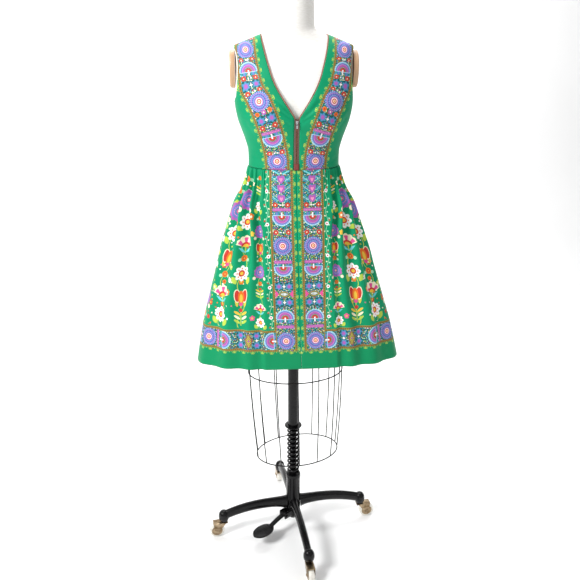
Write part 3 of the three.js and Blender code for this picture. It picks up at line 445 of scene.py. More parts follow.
def cover(columns, rows, place):
    """A grid of cloth whose points go where place says, with its own coordinates as a map."""
    bm = bmesh.new()
    bmesh.ops.create_grid(bm, x_segments=columns, y_segments=rows, size=0.5)
    layer = bm.loops.layers.uv.new("cloth")
    spots = {}
    for vert in bm.verts:
        share, rise = vert.co.x + 0.5, vert.co.y + 0.5
        vert.co, spots[vert] = place(share, rise)
    for face in bm.faces:
        for loop in face.loops:
            loop[layer].uv = spots[loop.vert]
    bm.normal_update()
    facing = sum(face.normal.dot(Vector((*face.calc_center_median().xy, 0))) for face in bm.faces)
    if facing < 0:
        bmesh.ops.reverse_faces(bm, faces=bm.faces)
    return bm


def thicken(made, thickness, name="cloth thickness"):
    """A wall under the outer face."""
    wall = made.modifiers.new(name, "SOLIDIFY")
    wall.thickness, wall.offset = thickness * MM, -1
    return made


linen = finish("off-white linen cover", dye(246, 244, 240), dye(236, 233, 227), 0.82, 0.05, grain=90, stretch=(1, 1, 6),
               relief=0.0003, fine=900, sheen=0.15)
FORM_BOTTOM, FORM_TOP = TORSO[0][0], TORSO[-1][0]


def torso_place(share, rise):
    height = FORM_BOTTOM + (FORM_TOP - FORM_BOTTOM) * rise
    return form_point(360 * share, height, BUST_HALF_WIDTH) * MM, (share, rise)


torso = cover(112, 120, torso_place)
bmesh.ops.remove_doubles(torso, verts=torso.verts, dist=1e-5)
top_rim = [edge for edge in torso.edges if edge.is_boundary and edge.verts[0].co.z > 1.8]
cap = bmesh.ops.holes_fill(torso, edges=top_rim, sides=0)["faces"]
bmesh.ops.bevel(torso, geom=[edge for face in cap for edge in face.edges], offset=5 * MM, offset_type="OFFSET",
                segments=4, profile=0.5, affect="EDGES", material=-1, clamp_overlap=True)
thicken(piece("torso_cover", [torso], linen, "form", ["form_torso"]), 6, name="shell")

# The arm plates are oval wooden discs on the sides, and a wooden board with a socket for the
# pole closes the bottom. Both are varnished, with the grain along the board.
tan_wood = finish("varnished tan wood", dye(206, 168, 132), dye(178, 138, 102), 0.42, grain=30, stretch=(1, 1, 0.15),
                  relief=0.0002, fine=250, coat=0.25)
for name, side in (("left", 1), ("right", -1)):
    disc = turned([(0, 0), (1, 0), (1, 0.62), (0.985, 0.8), (0.95, 0.93), (0.9, 1), (0, 1)], steps=56)
    lay = Matrix.Rotation(side * math.pi / 2, 4, "Y")
    placed(disc, seat(side * 171.1, 0, 1619) @ lay @ Matrix.Diagonal((52, 33, 15, 1)))
    piece(f"arm_plate_disc_{name}", [disc], tan_wood, "form", [f"form_arm_plate_{name}"])
board_section = tuple(value - inset for value, inset in zip(torso_section(FORM_BOTTOM), (7.3, 7.3, 7.3, 0)))
board_outline = [oval(board_section, 360 * i / 72) for i in range(72)]
socket = turned([(POLE_RADIUS + 0.3, 940), (24.8, 940), (24.8, 1003.6), (0, 1003.6), (0, 997.3),
                 (POLE_RADIUS + 0.3, 997.3), (POLE_RADIUS + 0.3, 940)], steps=48)
piece("bottom_board", [plate(board_outline, 939, 951, soften=1), socket], tan_wood, "form", ["form_board"])

# The printed cloth is a fine cotton sateen: green ground, with bands of round folk motifs edged
# by double gold lines, and loose folk flowers between them. All of the motifs are formulas.
GREEN, GREEN_DEEP = dye(0, 160, 110), dye(0, 134, 88)
BAND_GROUND, CREAM, WHITE = dye(22, 104, 84), dye(245, 238, 205), dye(250, 250, 250)
PERIWINKLE, VIOLET, ORCHID = dye(114, 124, 196), dye(84, 94, 174), dye(180, 94, 174)
MAGENTA, PINK, RED = dye(226, 84, 150), dye(240, 150, 190), dye(204, 62, 52)
ORANGE, YELLOW, LIME = dye(232, 118, 40), dye(238, 196, 70), dye(184, 208, 80)
GOLD, RUST, TEAL = dye(168, 144, 58), dye(190, 84, 48), dye(52, 150, 172)
SKY, CYAN, MINT = dye(176, 222, 242), dye(110, 206, 214), dye(170, 226, 190)
BAND_HALF = 31
BAND_EDGE = BAND_HALF + 3.8
KINDS, FAR_OFF = 16, 999


class Field:
    """A number that varies over the cloth, made of shader nodes."""

    def __init__(self, tree, socket):
        self.tree, self.socket = tree, socket

    def step(self, operation, *others):
        node = self.tree.nodes.new("ShaderNodeMath")
        node.operation = operation
        for place, value in zip(node.inputs, (self, *others)):
            if isinstance(value, Field):
                self.tree.links.new(value.socket, place)
            else:
                place.default_value = value
        return Field(self.tree, node.outputs[0])

    def __add__(self, other):
        return self.step("ADD", other)

    def __sub__(self, other):
        return self.step("SUBTRACT", other)

    def __mul__(self, other):
        return self.step("MULTIPLY", other)

    def __truediv__(self, other):
        return self.step("DIVIDE", other)

    def __abs__(self):
        return self.step("ABSOLUTE")

    def power(self, value):
        return self.step("POWER", value)

    def below(self, value):
        return self.step("LESS_THAN", value)

    def above(self, value):
        return self.step("GREATER_THAN", value)

    def within(self, low, high):
        return self.above(low) * self.below(high)

    def larger(self, other):
        return self.step("MAXIMUM", other)

    def wave(self, count):
        return (self * count).step("COSINE")

    def repeat(self, pitch):
        """The distance from the nearest multiple of the pitch."""
        return self.step("PINGPONG", pitch / 2)

    def far(self, other):
        return (self * self + other * other).step("SQRT")


def mixed(tree, mask, under, over):
    """One colour where the mask is 0 and the other where it is 1."""
    mix = tree.nodes.new("ShaderNodeMix")
    mix.data_type = "RGBA"
    for place, value in ((mix.inputs[0], mask), (mix.inputs[6], under), (mix.inputs[7], over)):
        if isinstance(value, Field):
            tree.links.new(value.socket, place)
        elif isinstance(value, bpy.types.NodeSocket):
            tree.links.new(value, place)
        else:
            place.default_value = value
    return mix.outputs[2]


class Print:
    """Dyes laid one over another on the ground of the cloth."""

    def __init__(self, tree, ground):
        self.tree, self.colour = tree, ground

    def lay(self, mask, colour):
        self.colour = mixed(self.tree, mask, self.colour, colour)

    def rings(self, distance, *rows):
        """Discs laid one over another: each row is how far the disc reaches and its colour."""
        for reach, colour in rows:
            self.lay(distance.below(reach), colour)


def choices(tree, value, rows):
    """Steps of colour along a value: each row is where it starts and the colour."""
    node = tree.nodes.new("ShaderNodeValToRGB")
    ramp = node.color_ramp
    ramp.interpolation = "CONSTANT"
    for start, _ in rows[2:]:
        ramp.elements.new(min(1, start))
    for element, (start, colour) in zip(ramp.elements, rows):
        element.position = start
        element.color = colour
    tree.links.new(value.socket, node.inputs["Fac"])
    return node.outputs["Color"]


def parts_of(tree, colour):
    node = tree.nodes.new("ShaderNodeSeparateColor")
    tree.links.new(colour, node.inputs[0])
    return [Field(tree, socket) for socket in node.outputs]


def strip(tree, along, length, motifs):
    """Looks up the motif at a place along a band: its middle, its kind and which way up it is."""
    starts = [0, *(end for _, _, _, end in motifs[:-1])]
    return choices(tree, along / length, [(start / length, (middle / length, kind / KINDS, flip, 1))
                                          for start, (middle, kind, flip, _) in zip(starts, motifs)])


def flat_point(tree, x, y):
    node = tree.nodes.new("ShaderNodeCombineXYZ")
    tree.links.new(x.socket, node.inputs[0])
    tree.links.new(y.socket, node.inputs[1])
    return node.outputs[0]


def cells(tree, spot, scale, randomness=1):
    """Scattered cells over the cloth, each with its own middle and chance colour."""
    node = tree.nodes.new("ShaderNodeTexVoronoi")
    node.voronoi_dimensions = "2D"
    node.inputs["Scale"].default_value = scale
    node.inputs["Randomness"].default_value = randomness
    tree.links.new(spot, node.inputs["Vector"])
    return node


def only(x, kind, code):
    """The distance across where the motif is of one kind, and far off everywhere else."""
    return x + kind.step("COMPARE", code, 0.4) * -FAR_OFF + FAR_OFF


def gold_lines(edge):
    """The two lines along each edge of a band."""
    return edge.within(BAND_HALF - 2.6, BAND_HALF - 1.4) + edge.within(BAND_HALF + 2.6, BAND_EDGE)


ROSETTE, LUNETTE, TWINS, SCALLOP, HEART, DOTS, LENS, MEDALLION, LEAVES, TRIO = range(1, 11)


def folk_band(tree, ink, x, along, look_up, length, in_band):
    """Paints a band of folk motifs: x is the distance from its middle line."""
    middle, kind, flip = parts_of(tree, look_up)
    y = (along - middle * length) * (flip * 2 - 1)
    kind = kind * KINDS

    ink.lay(in_band, BAND_GROUND)
    speck = cells(tree, flat_point(tree, x, along), 0.23)
    chance = parts_of(tree, speck.outputs["Color"])[0]
    confetti = choices(tree, chance, [(0, CREAM), (0.18, LIME), (0.34, TEAL), (0.52, RUST), (0.64, PERIWINKLE),
                                      (0.8, ORCHID), (0.9, CYAN)])
    ink.lay(Field(tree, speck.outputs["Distance"]).below(0.36) * in_band, confetti)

    at = only(x, kind, ROSETTE)
    r, turn = at.far(y), at.step("ARCTAN2", y)
    petals = abs(turn.wave(8))
    ink.lay((r - petals * 1.8).below(26.8), VIOLET)
    ink.lay(r.within(24.4, 26.2) * turn.wave(28).above(0), SKY)
    ink.lay(r.below(24), PERIWINKLE)
    ink.lay(r.within(12, 21.5) * turn.wave(20).above(0.1), VIOLET)
    ink.lay(r.within(20.5, 22) * turn.wave(32).above(0), PINK)
    ink.lay(r.within(14, 15.2) * turn.wave(24).above(0), SKY)
    ink.rings(r, (11, MAGENTA), (9.2, WHITE))
    ink.lay((r - petals * 0.8).below(6.6), RED)
    ink.rings(r, (4, CREAM), (2.1, ORANGE))

    at = only(x, kind, LUNETTE)
    r, turn = at.far(y + 9), at.step("ARCTAN2", y + 9)
    half = y.above(-11)
    ink.lay((r - abs(turn.wave(13)) * 1.4).below(28.2) * half, SKY)
    ink.lay(r.within(26, 27.2) * turn.wave(30).above(0) * half, TEAL)
    ink.lay(r.below(25.2) * half, PERIWINKLE)
    ink.lay(r.within(19.4, 20.4) * half, PINK)
    ink.lay(r.below(19.4) * half, ORCHID)
    ink.lay(r.below(13) * half, BAND_GROUND)
    ink.lay(r.within(10.8, 12) * turn.wave(20).above(0) * half, CREAM)
    ink.lay(r.below(9.4) * half, RED)
    side = abs(at)
    ink.lay(side.within(6, 26) * y.within(-21, -11) * (side.repeat(7)).above(1.1), TEAL)
    ink.lay(side.within(12, 17) * y.within(-21, -11), PERIWINKLE)
    ink.lay(side.below(2.2) * y.within(-20, -5), WHITE)
    ink.lay(side.below(26) * y.within(-12, -10.4), SKY)

    at = only(x, kind, TWINS)
    side = abs(at)
    flower, turn = (side - 15.5).far(y), (side - 15.5).step("ARCTAN2", y)
    ink.lay(flower.below(14.6), dye(28, 84, 96))
    ink.lay((flower - turn.wave(6) * 2.2).below(11), TEAL)
    ink.lay((flower - turn.wave(6) * 1.6).below(8), PERIWINKLE)
    ink.lay(flower.below(4.6), ORCHID)
    ink.lay((side.power(0.5) + abs(y).power(0.5)).below(2.9), WHITE)

    at = only(x, kind, SCALLOP)
    side = abs(at)
    ink.lay((abs(y) - abs(at.wave(0.42)) * 2.6).below(3) * side.below(27), ORCHID)
    ink.lay(abs(y).below(1) * side.below(25) * at.repeat(4.5).below(1.3), PINK)

    at = only(x, kind, HEART)
    side = abs(at)
    heart = (side / 11.5).power(2) + (y / 11 - (side / 11.5).power(0.5) * 0.75 + 0.3).power(2)
    ink.rings(heart, (1.1, PERIWINKLE), (0.8, ORCHID), (0.18, PINK))
    for drop, colour in ((0, CYAN), (6, TEAL), (-6, TEAL)):
        ink.lay(abs(y - side * 0.75 + 13 + drop).below(1.6) * side.within(11, 27), colour)

    at = only(x, kind, DOTS)
    side = abs(at)
    r = (side - 18.5).far(y)
    ink.lay(r.below(7.4), RED)
    ink.lay(r.within(3, 4.2), RUST)
    ink.lay(r.below(2), CREAM)
    ink.lay((side - 4).far(y).below(2.2), WHITE)

    at = only(x, kind, LENS)
    side = abs(at)
    lens = abs(y) / 9 + (at / 17).power(2)
    ink.lay((side - abs(y) * 0.9).above(16) * side.below(27.5), MAGENTA)
    ink.rings(lens, (1, GOLD), (0.66, BAND_GROUND))
    ink.lay(lens.below(0.5) * at.repeat(4).below(1.2), WHITE)

    at = only(x, kind, MEDALLION)
    lens = abs(y) / 11 + (at / 24).power(2)
    ink.rings(lens, (1, RUST), (0.84, BAND_GROUND))
    ink.lay(lens.below(0.7) * ((at + y).repeat(6).below(0.9) + (at - y).repeat(6).below(0.9)).above(0.5), YELLOW)
    ink.lay(at.far(y).below(3), ORCHID)

    at = only(x, kind, LEAVES)
    side = abs(at)
    ink.lay(abs(y - side * 0.5 + 5).below(2.2) * side.within(3, 26), CYAN)
    ink.lay(abs(y - side * 0.5 - 1).below(1.4) * side.within(3, 24), TEAL)
    ink.lay(at.far(y).below(2.4), CREAM)

    at = only(x, kind, TRIO)
    ink.rings((abs(at) - 19).far(y), (6.2, ORANGE), (2.4, RED))
    ink.rings(at.far(y), (6.4, ORCHID), (2.2, CREAM))

    edge = abs(x)
    ink.lay(edge.within(BAND_HALF - 2.4, BAND_HALF + 3.6) * in_band, dye(56, 110, 60))
    ink.lay(((edge - BAND_HALF - 0.6).far(along.repeat(6))).below(1.7) * in_band, RUST)
    ink.lay(gold_lines(edge) * in_band, GOLD)


def hooks(ink, x, along, pitch, where):
    """Small ring buds on stems, with dots between them, beside the gold lines."""
    out = abs(x) - BAND_HALF
    aside = along.repeat(pitch)
    bud = (out - 9).far(aside - 2.7)
    ink.lay(bud.within(1.5, 2.9) * where, LIME)
    ink.lay(aside.below(0.6) * out.within(3.6, 12) * where, LIME)
    ink.lay((out - 6.2).far((along + pitch / 2).repeat(pitch)).below(1.3) * where, LIME)
    ink.lay((out - 5.6).far(aside - 8).below(1.2) * where, GOLD)


def cloth_shader(name, paint):
    """The sateen: print, a soft sheen, the weave and faint creases."""
    material = bpy.data.materials.new(name)
    material.use_nodes = True
    tree = material.node_tree
    shader = tree.nodes["Principled BSDF"]
    shader.inputs["Sheen Weight"].default_value = 0.04
    shader.inputs["Sheen Roughness"].default_value = 0.4
    shader.inputs["Specular IOR Level"].default_value = 0.2
    chart = tree.nodes.new("ShaderNodeUVMap")
    chart.uv_map = "cloth"
    split = tree.nodes.new("ShaderNodeSeparateXYZ")
    tree.links.new(chart.outputs["UV"], split.inputs[0])
    u, v = (Field(tree, split.outputs[i]) * 1000 for i in (0, 1))
    place = tree.nodes.new("ShaderNodeTexCoord").outputs["Object"]
    ground = noise(tree, place, 14, 4)
    ink = Print(tree, GREEN)
    ink.lay(Field(tree, ground), GREEN_DEEP)
    paint(tree, ink, u, v)
    tree.links.new(ink.colour, shader.inputs["Base Color"])
    tree.links.new(spread_over(tree, ground, 0.46, 0.6), shader.inputs["Roughness"])
    threads = (u * 9).step("SINE") + (v * 9).step("SINE")
    weave = bump(tree, threads.socket, 0.25, 0.00008)
    rumple = bump(tree, noise(tree, place, 26, 3), 0.3, 0.0016)
    tree.links.new(weave.outputs["Normal"], rumple.inputs["Normal"])
    tree.links.new(rumple.outputs["Normal"], shader.inputs["Normal"])
    return material


# The bodice has two fronts and two backs, cut with a wide V neck and sewn at the sides and
# shoulders. A printed band runs down each half, over the bust. It fits closely, so the cloth
# pulls into short creases beside the V and under the arms.
CLOTH, CLOTH_WALL, EDGE_TUCK, WAIST_TUCK = 1.6, 1.1, 0.7, 2
CLOTH_SPAN, WAIST = 62, 1342.3
FRONT_ROWS = [(0, 7.8, WAIST, 0, WAIST), (1, 7.8, 1364, 0, 1364), (2, 7.8, 1390, 0, 1390), (3, 7.8, 1423, 0, 1423),
              (4, 7.8, 1454, 0, 1456), (5, 7.8, 1476, 0, 1488), (6, 8.2, 1488, 0, 1521), (7, 20, 1508, 20, 1531),
              (8, 37, 1534, 33, 1548), (9, 54, 1563, 39, 1570), (10, 68, 1594, 41, 1596), (11, 78, 1626, 39, 1622),
              (12, 86, 1655, 33, 1645), (13, 91.5, 1679, 25, 1662), (14, 94.5, 1695, 15, 1673),
              (15, 95.2, 1702, 9, 1677.5), (16, 95.6, 1708, 4, 1680), (17, 96, 1712, 0, 1681)]
BACK_ROWS = [(0, 0, WAIST, 0, WAIST), (1, 0, 1376, 0, 1372), (2, 0, 1423, 0, 1410), (3, 0, 1478, 0, 1453),
             (4, 0, 1533, 0, 1490), (5, 0, 1588, 0, 1521), (6, 0, 1628, 22, 1531), (7, 0, 1657, 35, 1548),
             (8, 26, 1659, 41, 1570), (9, 48, 1664, 43, 1596), (10, 66, 1671, 41, 1622), (11, 80, 1680, 35, 1645),
             (12, 89, 1689, 26, 1662), (13, 94, 1698, 16, 1673), (14, 95.2, 1703, 10, 1677.5),
             (15, 95.6, 1708.5, 4, 1680), (16, 96, 1712, 0, 1681)]
EASE = [(1342, 8), (1388, 5), (1448, 3), (1558, 3.6), (1618, 2.6), (1668, 2), (1681, 1.8), (1705, 1.5),
        (1712, 0.7)]
BODICE_BAND = [(1342, 55), (1368, 56), (1429, 67.5), (1485, 85), (1534, 106), (1576, 126), (1621, 134),
               (1670, 140), (1712, 141)]
BAND_SIZE = [(1342, 1), (1548, 1), (1621, 0.86), (1670, 0.82), (1712, 0.8)]
CREASES = {
    "left": [((10, 1485), (62, 1524), 4, 2.6), ((14, 1494), (84, 1546), 5, 2.2), ((9, 1474), (52, 1500), 4, 1.8),
             ((34, 1510), (96, 1518), 6, -1.6), ((26, 1504), (66, 1560), 5, -1.4),
             ((150, 1516), (112, 1484), 6, 1.6), ((152, 1494), (118, 1450), 5, 1.2),
             ((128, 1374), (92, 1352), 6, 1.4), ((20, 1418), (60, 1428), 7, 1.0)],
    "right": [((10, 1486), (58, 1516), 4, 2.4), ((16, 1498), (78, 1554), 5, 2.6), ((9, 1468), (60, 1488), 4, 1.5),
              ((36, 1516), (90, 1506), 6, -1.8), ((22, 1498), (62, 1540), 4, -1.2),
              ((152, 1514), (108, 1490), 6, 1.8), ((150, 1484), (120, 1438), 6, 1.2),
              ((126, 1382), (88, 1358), 6, 1.2), ((22, 1398), (58, 1414), 7, 1.1)]}


def trough(x, height, creases):
    """How deep the listed creases are at a place seen from the front."""
    depth = 0
    for (x1, z1), (x2, z2), width, deep in creases:
        long = math.hypot(x2 - x1, z2 - z1)
        along = ((x - x1) * (x2 - x1) + (height - z1) * (z2 - z1)) / long
        away = abs((x - x1) * (z2 - z1) - (height - z1) * (x2 - x1)) / long
        if away < 3 * width and -width < along < long + width:
            end = min(1, max(0, (along + width) / (0.3 * long)), max(0, (long + width - along) / (0.4 * long)))
            depth += deep * math.exp(-(away / width) ** 2) * end
    return depth


def off_form(angle, height, lift):
    """The point at a distance outside the form, square to it."""
    around = form_point(angle + 0.5, height, CLOTH_SPAN) - form_point(angle - 0.5, height, CLOTH_SPAN)
    upward = form_point(angle, height + 0.5, CLOTH_SPAN) - form_point(angle, height - 0.5, CLOTH_SPAN)
    outward = around.cross(upward).normalized()
    return form_point(angle, height, CLOTH_SPAN) + outward * (between(EASE, height, 1) + lift)


def edge_angle(row, back):
    """The angles of a row's two edges, from the centre line to the side line."""
    _, inner_x, inner_z, outer_y, outer_z = row
    half_width, _, _, square = torso_section(round(inner_z, 2))
    share = min(1, max(0.15, inner_x) / half_width)
    inner = math.degrees(math.atan2(share, (1 - share ** square) ** (1 / square)))
    half_width, front, rear, square = torso_section(round(outer_z, 2))
    share = min(1, max(0.15, outer_y) / (rear if back else front))
    outer = math.degrees(math.atan2((1 - share ** square) ** (1 / square), share))
    seam = math.degrees(0.15 / half_width)
    return min(90 - seam, inner), outer


@lru_cache(maxsize=None)
def band_travel(height):
    """How far along the printed band a height lies, in the band's own scale."""
    travel, level = 0.0, 1342.0
    while level < height:
        step = min(2, height - level)
        rise = between(BODICE_BAND, level + step, 1) - between(BODICE_BAND, level, 1)
        travel += math.hypot(rise, step) / between(BAND_SIZE, level, 1)
        level += step
    return travel


def band_place(x, height):
    """Where a point of the bodice lies across and along its printed band."""
    level = round(height, 1)
    slope = between(BODICE_BAND, level + 1, 1) - between(BODICE_BAND, level - 1, 1)
    lean = math.atan2(slope, 2)
    aside = (x - between(BODICE_BAND, level, 1)) / between(BAND_SIZE, level, 1)
    return aside * math.cos(lean), band_travel(level) + aside * math.sin(lean)


# Motifs of a band from its start: middle, kind, upright (1) or hanging (0), and end.
BODICE_MOTIFS = [(1342, SCALLOP, 1, 1346), (1368, ROSETTE, 1, 1385), (1392, DOTS, 1, 1399),
                 (1429, LUNETTE, 0, 1447), (1452, SCALLOP, 1, 1458), (1469, DOTS, 1, 1477), (1488, TWINS, 1, 1499),
                 (1507, TRIO, 1, 1512.5), (1534, ROSETTE, 1, 1555), (1560, DOTS, 1, 1566), (1578, TWINS, 1, 1590),
                 (1596, DOTS, 1, 1602), (1621, LUNETTE, 1, 1640), (1644, DOTS, 1, 1649), (1670, ROSETTE, 1, 1695),
                 (1700, DOTS, 1, 1718)]
BAND_LENGTH = 440


def paint_bodice(tree, ink, u, v):
    motifs = [(band_travel(middle), kind, flip, band_travel(end)) for middle, kind, flip, end in BODICE_MOTIFS]
    hooks(ink, u, v, 32, abs(u).below(60))
    folk_band(tree, ink, u, v, strip(tree, v, BAND_LENGTH, motifs), BAND_LENGTH, abs(u).below(BAND_EDGE))


bodice_print = cloth_shader("printed cotton sateen of the bodice", paint_bodice)


def bodice_panel(name, rows, back, side):
    columns, levels = 60, 130
    last = len(rows) - 1
    sign = 1 if side == "left" else -1

    def place(share, rise):
        at = rise * last
        row = [between(rows, at, column) for column in range(5)]
        inner, outer = edge_angle(row, back)
        angle = inner + (outer - inner) * share
        height = row[2] + (row[4] - row[2]) * share
        around = sign * (180 - angle if back else angle)
        lift = CLOTH
        if share in (0, 1) or rise == 0:
            lift -= EDGE_TUCK if rise else WAIST_TUCK
        spot = off_form(around, height, lift)
        if not back or height < 1518:
            spot = off_form(around, height, lift - trough(abs(spot.x), height, CREASES[side]))
        across, along = band_place(abs(spot.x), height)
        return spot * MM, (across * MM, along * MM)

    panel = piece(name, [cover(columns, levels, place)], bodice_print, "form",
                  [name.removeprefix("dress_")], smooth=60)
    return thicken(panel, CLOTH_WALL)


for side in ("left", "right"):
    bodice_panel(f"dress_bodice_front_{side}", FRONT_ROWS, False, side)
    bodice_panel(f"dress_bodice_back_{side}", BACK_ROWS, True, side)

# Piping: a narrow bias strip of rust cotton sewn over the neck edge, in three lengths.
piping_cotton = finish("rust cotton piping", dye(168, 104, 84), dye(136, 80, 64), 0.6, grain=300, relief=0.0003,
                       fine=1500, sheen=0.1)


def neck_edge(rows, back, sign, first, count):
    """Points and outward lines along the neck edge, from the bottom of the V to the shoulder."""
    last = len(rows) - 1
    line = []
    for i in range(count + 1):
        at = first + (last - first) * i / count
        row = [between(rows, at, column) for column in range(5)]
        angle = edge_angle(row, back)[0] - (1 if at > last - 0.5 else 0)
        around = sign * (180 - angle if back else angle)
        inside, outside = off_form(around, row[2], 0), off_form(around, row[2], 1)
        line.append((inside, outside - inside))
    return line


def piping(name, line, aside):
    count = len(line) - 1

    def place(share, rise):
        i = round(rise * count)
        along = (line[min(count, i + 1)][0] - line[max(0, i - 1)][0]).normalized()
        spot, outward = line[i]
        across = along.cross(outward).normalized() * aside
        swell = math.sqrt(max(0, 1 - (2 * share - 1) ** 2))
        return (spot + across * (0.3 + 3.2 * share) + outward * (1.2 + 1.1 * swell)) * MM, (share, rise)

    made = piece(name, [cover(8, count, place)], piping_cotton, "form", [name.removeprefix("dress_")],
                 smooth=80)
    return thicken(made, 0.8)


piping_left = piping("dress_neck_piping_front_left", neck_edge(FRONT_ROWS, False, 1, 6, 90), -1)
piping_right = piping("dress_neck_piping_front_right", neck_edge(FRONT_ROWS, False, -1, 6, 90), 1)
back_line = neck_edge(BACK_ROWS, True, 1, 7.05, 60)[::-1] + neck_edge(BACK_ROWS, True, -1, 7.05, 60)
piping_back = piping("dress_neck_piping_back", back_line, -1)

# The zip closes the front from the waist to the bottom of the V: two woven taupe tapes, copper
# teeth clamped on their edges, a brick-red bar of cloth over the lower end, and a nickel slider
# with a pull tab that swings on its bridge.
ZIP_TOP, ZIP_BOTTOM, TEETH_TOP = 1488, 1361, 1473.4
taupe_tape = finish("woven taupe zip tape", dye(120, 90, 80), dye(92, 70, 64), 0.7, grain=500, stretch=(1, 1, 3),
                    relief=0.0003, fine=1800)
copper = finish("copper zip teeth", dye(196, 132, 98), dye(120, 74, 54), 0.32, 0.1, metal=1.0, grain=300,
                relief=0.0001, fine=900)
brick_cloth = finish("brick-red bar tack cloth", dye(138, 62, 56), dye(104, 42, 40), 0.7, grain=400, stretch=(1, 1, 4),
                     relief=0.0004, fine=1500)
nickel = finish("polished nickel", dye(226, 228, 230), dye(190, 192, 196), 0.22, 0.05, metal=1.0, grain=200,
                relief=0.00005, fine=800)


def zip_point(x, height, lift):
    half_width, _, _, square = torso_section(round(height, 2))
    share = min(1, abs(x) / half_width)
    angle = math.degrees(math.atan2(share, (1 - share ** square) ** (1 / square)))
    return off_form(math.copysign(angle, x), height, lift)


def zip_cloth(name, start, end, bottom, top, lift, material, levels):
    def place(share, rise):
        return zip_point(start + (end - start) * share, bottom + (top - bottom) * rise, lift) * MM, (share, rise)

    made = piece(name, [cover(5, levels, place)], material, "form", [name.removeprefix("dress_")], smooth=60)
    return thicken(made, 0.6)


tape_left = zip_cloth("dress_zip_tape_left", 0.6, 7.5, WAIST, ZIP_TOP, 1.2, taupe_tape, 60)
tape_right = zip_cloth("dress_zip_tape_right", -7.5, -0.6, WAIST, ZIP_TOP, 1.2, taupe_tape, 60)
patch = zip_cloth("dress_zip_patch", -7.5, 7.5, WAIST, ZIP_BOTTOM, 2.5, brick_cloth, 16)
teeth = []
TEETH = 80
for i in range(TEETH):
    height = ZIP_BOTTOM + 0.8 + (TEETH_TOP - ZIP_BOTTOM - 1.4) * i / (TEETH - 1)
    spot = zip_point(0.8 if i % 2 else -0.8, height, 1.3)
    teeth.append(block((2.9, 1.7, 1.05), spot, soften=0.25, segments=1))
for x in (-1.9, 1.9):
    teeth.append(block((2, 1.4, 2), zip_point(x, 1486.2, 1.6), soften=0.3, segments=1))
piece("dress_zip_teeth", teeth, copper, "form", ["zip_chain"])
slider_outline = [(-4, 1484.3), (-4, 1480.6), (-2.9, 1474.3), (2.9, 1474.3), (4, 1480.6), (4, 1484.3), (1.4, 1483.2),
                  (-1.4, 1483.2)]
slider_body = placed(plate(slider_outline, 113.31, 115.71, soften=0.5), ON_SIDE)
bridge = rod([(0, -115.4, 1482.6), (0, -117.6, 1482.5), (0, -118.5, 1481.4), (0, -118.6, 1479.3),
              (0, -118.5, 1477.2), (0, -117.6, 1476.2), (0, -115.4, 1476)], (1, 0.5), sides=12)
piece("dress_zip_slider", [slider_body, bridge], nickel, "form", ["zip_slider"])
TAB_Y, TAB_Z = -117.01, 1480.3
tab_outline = [(-2.6, 0.4), (-2.6, -9.6), (-1.9, -11), (0, -11.6), (1.9, -11), (2.6, -9.6), (2.6, 0.4)]
tab_plate = placed(plate(tab_outline, -0.5, 0.5, soften=0.3), seat(0, TAB_Y, TAB_Z - 7) @ ON_SIDE)
tab_forms = [tab_plate, rod([(-2.6, TAB_Y, TAB_Z), (2.6, TAB_Y, TAB_Z)], (0.55, 0.55), sides=16)]
for x in (-2.05, 2.05):
    tab_forms.append(rod([(x, TAB_Y, TAB_Z + 0.3), (x, TAB_Y, TAB_Z - 7.4)], (0.55, 0.55), sides=12))
piece("dress_zip_pull_tab", tab_forms, nickel, "pull_tab", ["zip_pull_tab"])

# The skirt has two fronts and two backs, sewn down the middle and at the sides. It lies flat
# over the two printed bands and is gathered into soft pleats towards the side seams; a printed
# border runs above the deep plain hem.
SKIRT_TOP, SKIRT_DROP, SKIRT_RISE = 1342, 634, 617
TUCK_FULLNESS = 1.7
SKIRT = [(0, 138.5, 97.5, 92.5, 2.15, 0.3), (15, 142, 99, 95, 2.15, 0.5), (36, 148, 101, 100, 2.15, 0.78),
         (62, 157, 104, 107, 2.2, 1.02), (110, 184, 110, 118, 2.2, 1.22), (193, 213, 118, 130, 2.25, 1.24),
         (257, 235, 123, 135, 2.3, 1.14), (329, 255, 129, 139, 2.3, 0.9), (418, 281, 136, 143, 2.35, 0.74),
         (520, 310, 143, 148, 2.4, 0.55), (634, 334, 150, 152, 2.4, 0.4)]
FOLDS = [(0, 0, 0, 0), (20, 11, 8, 0), (38, 20, 16, 0), (44, 24, 19, -2), (50, 28, 22, 14), (57, 34, 28, -2),
         (63, 40, 34, 17), (70, 50, 43, -3), (77, 60, 53, 21), (84, 74, 69, -2), (90, 90, 90, 0)]
HEM_FRONT, HEM_SIDE, HEM_SWAY = 725, 708, 15
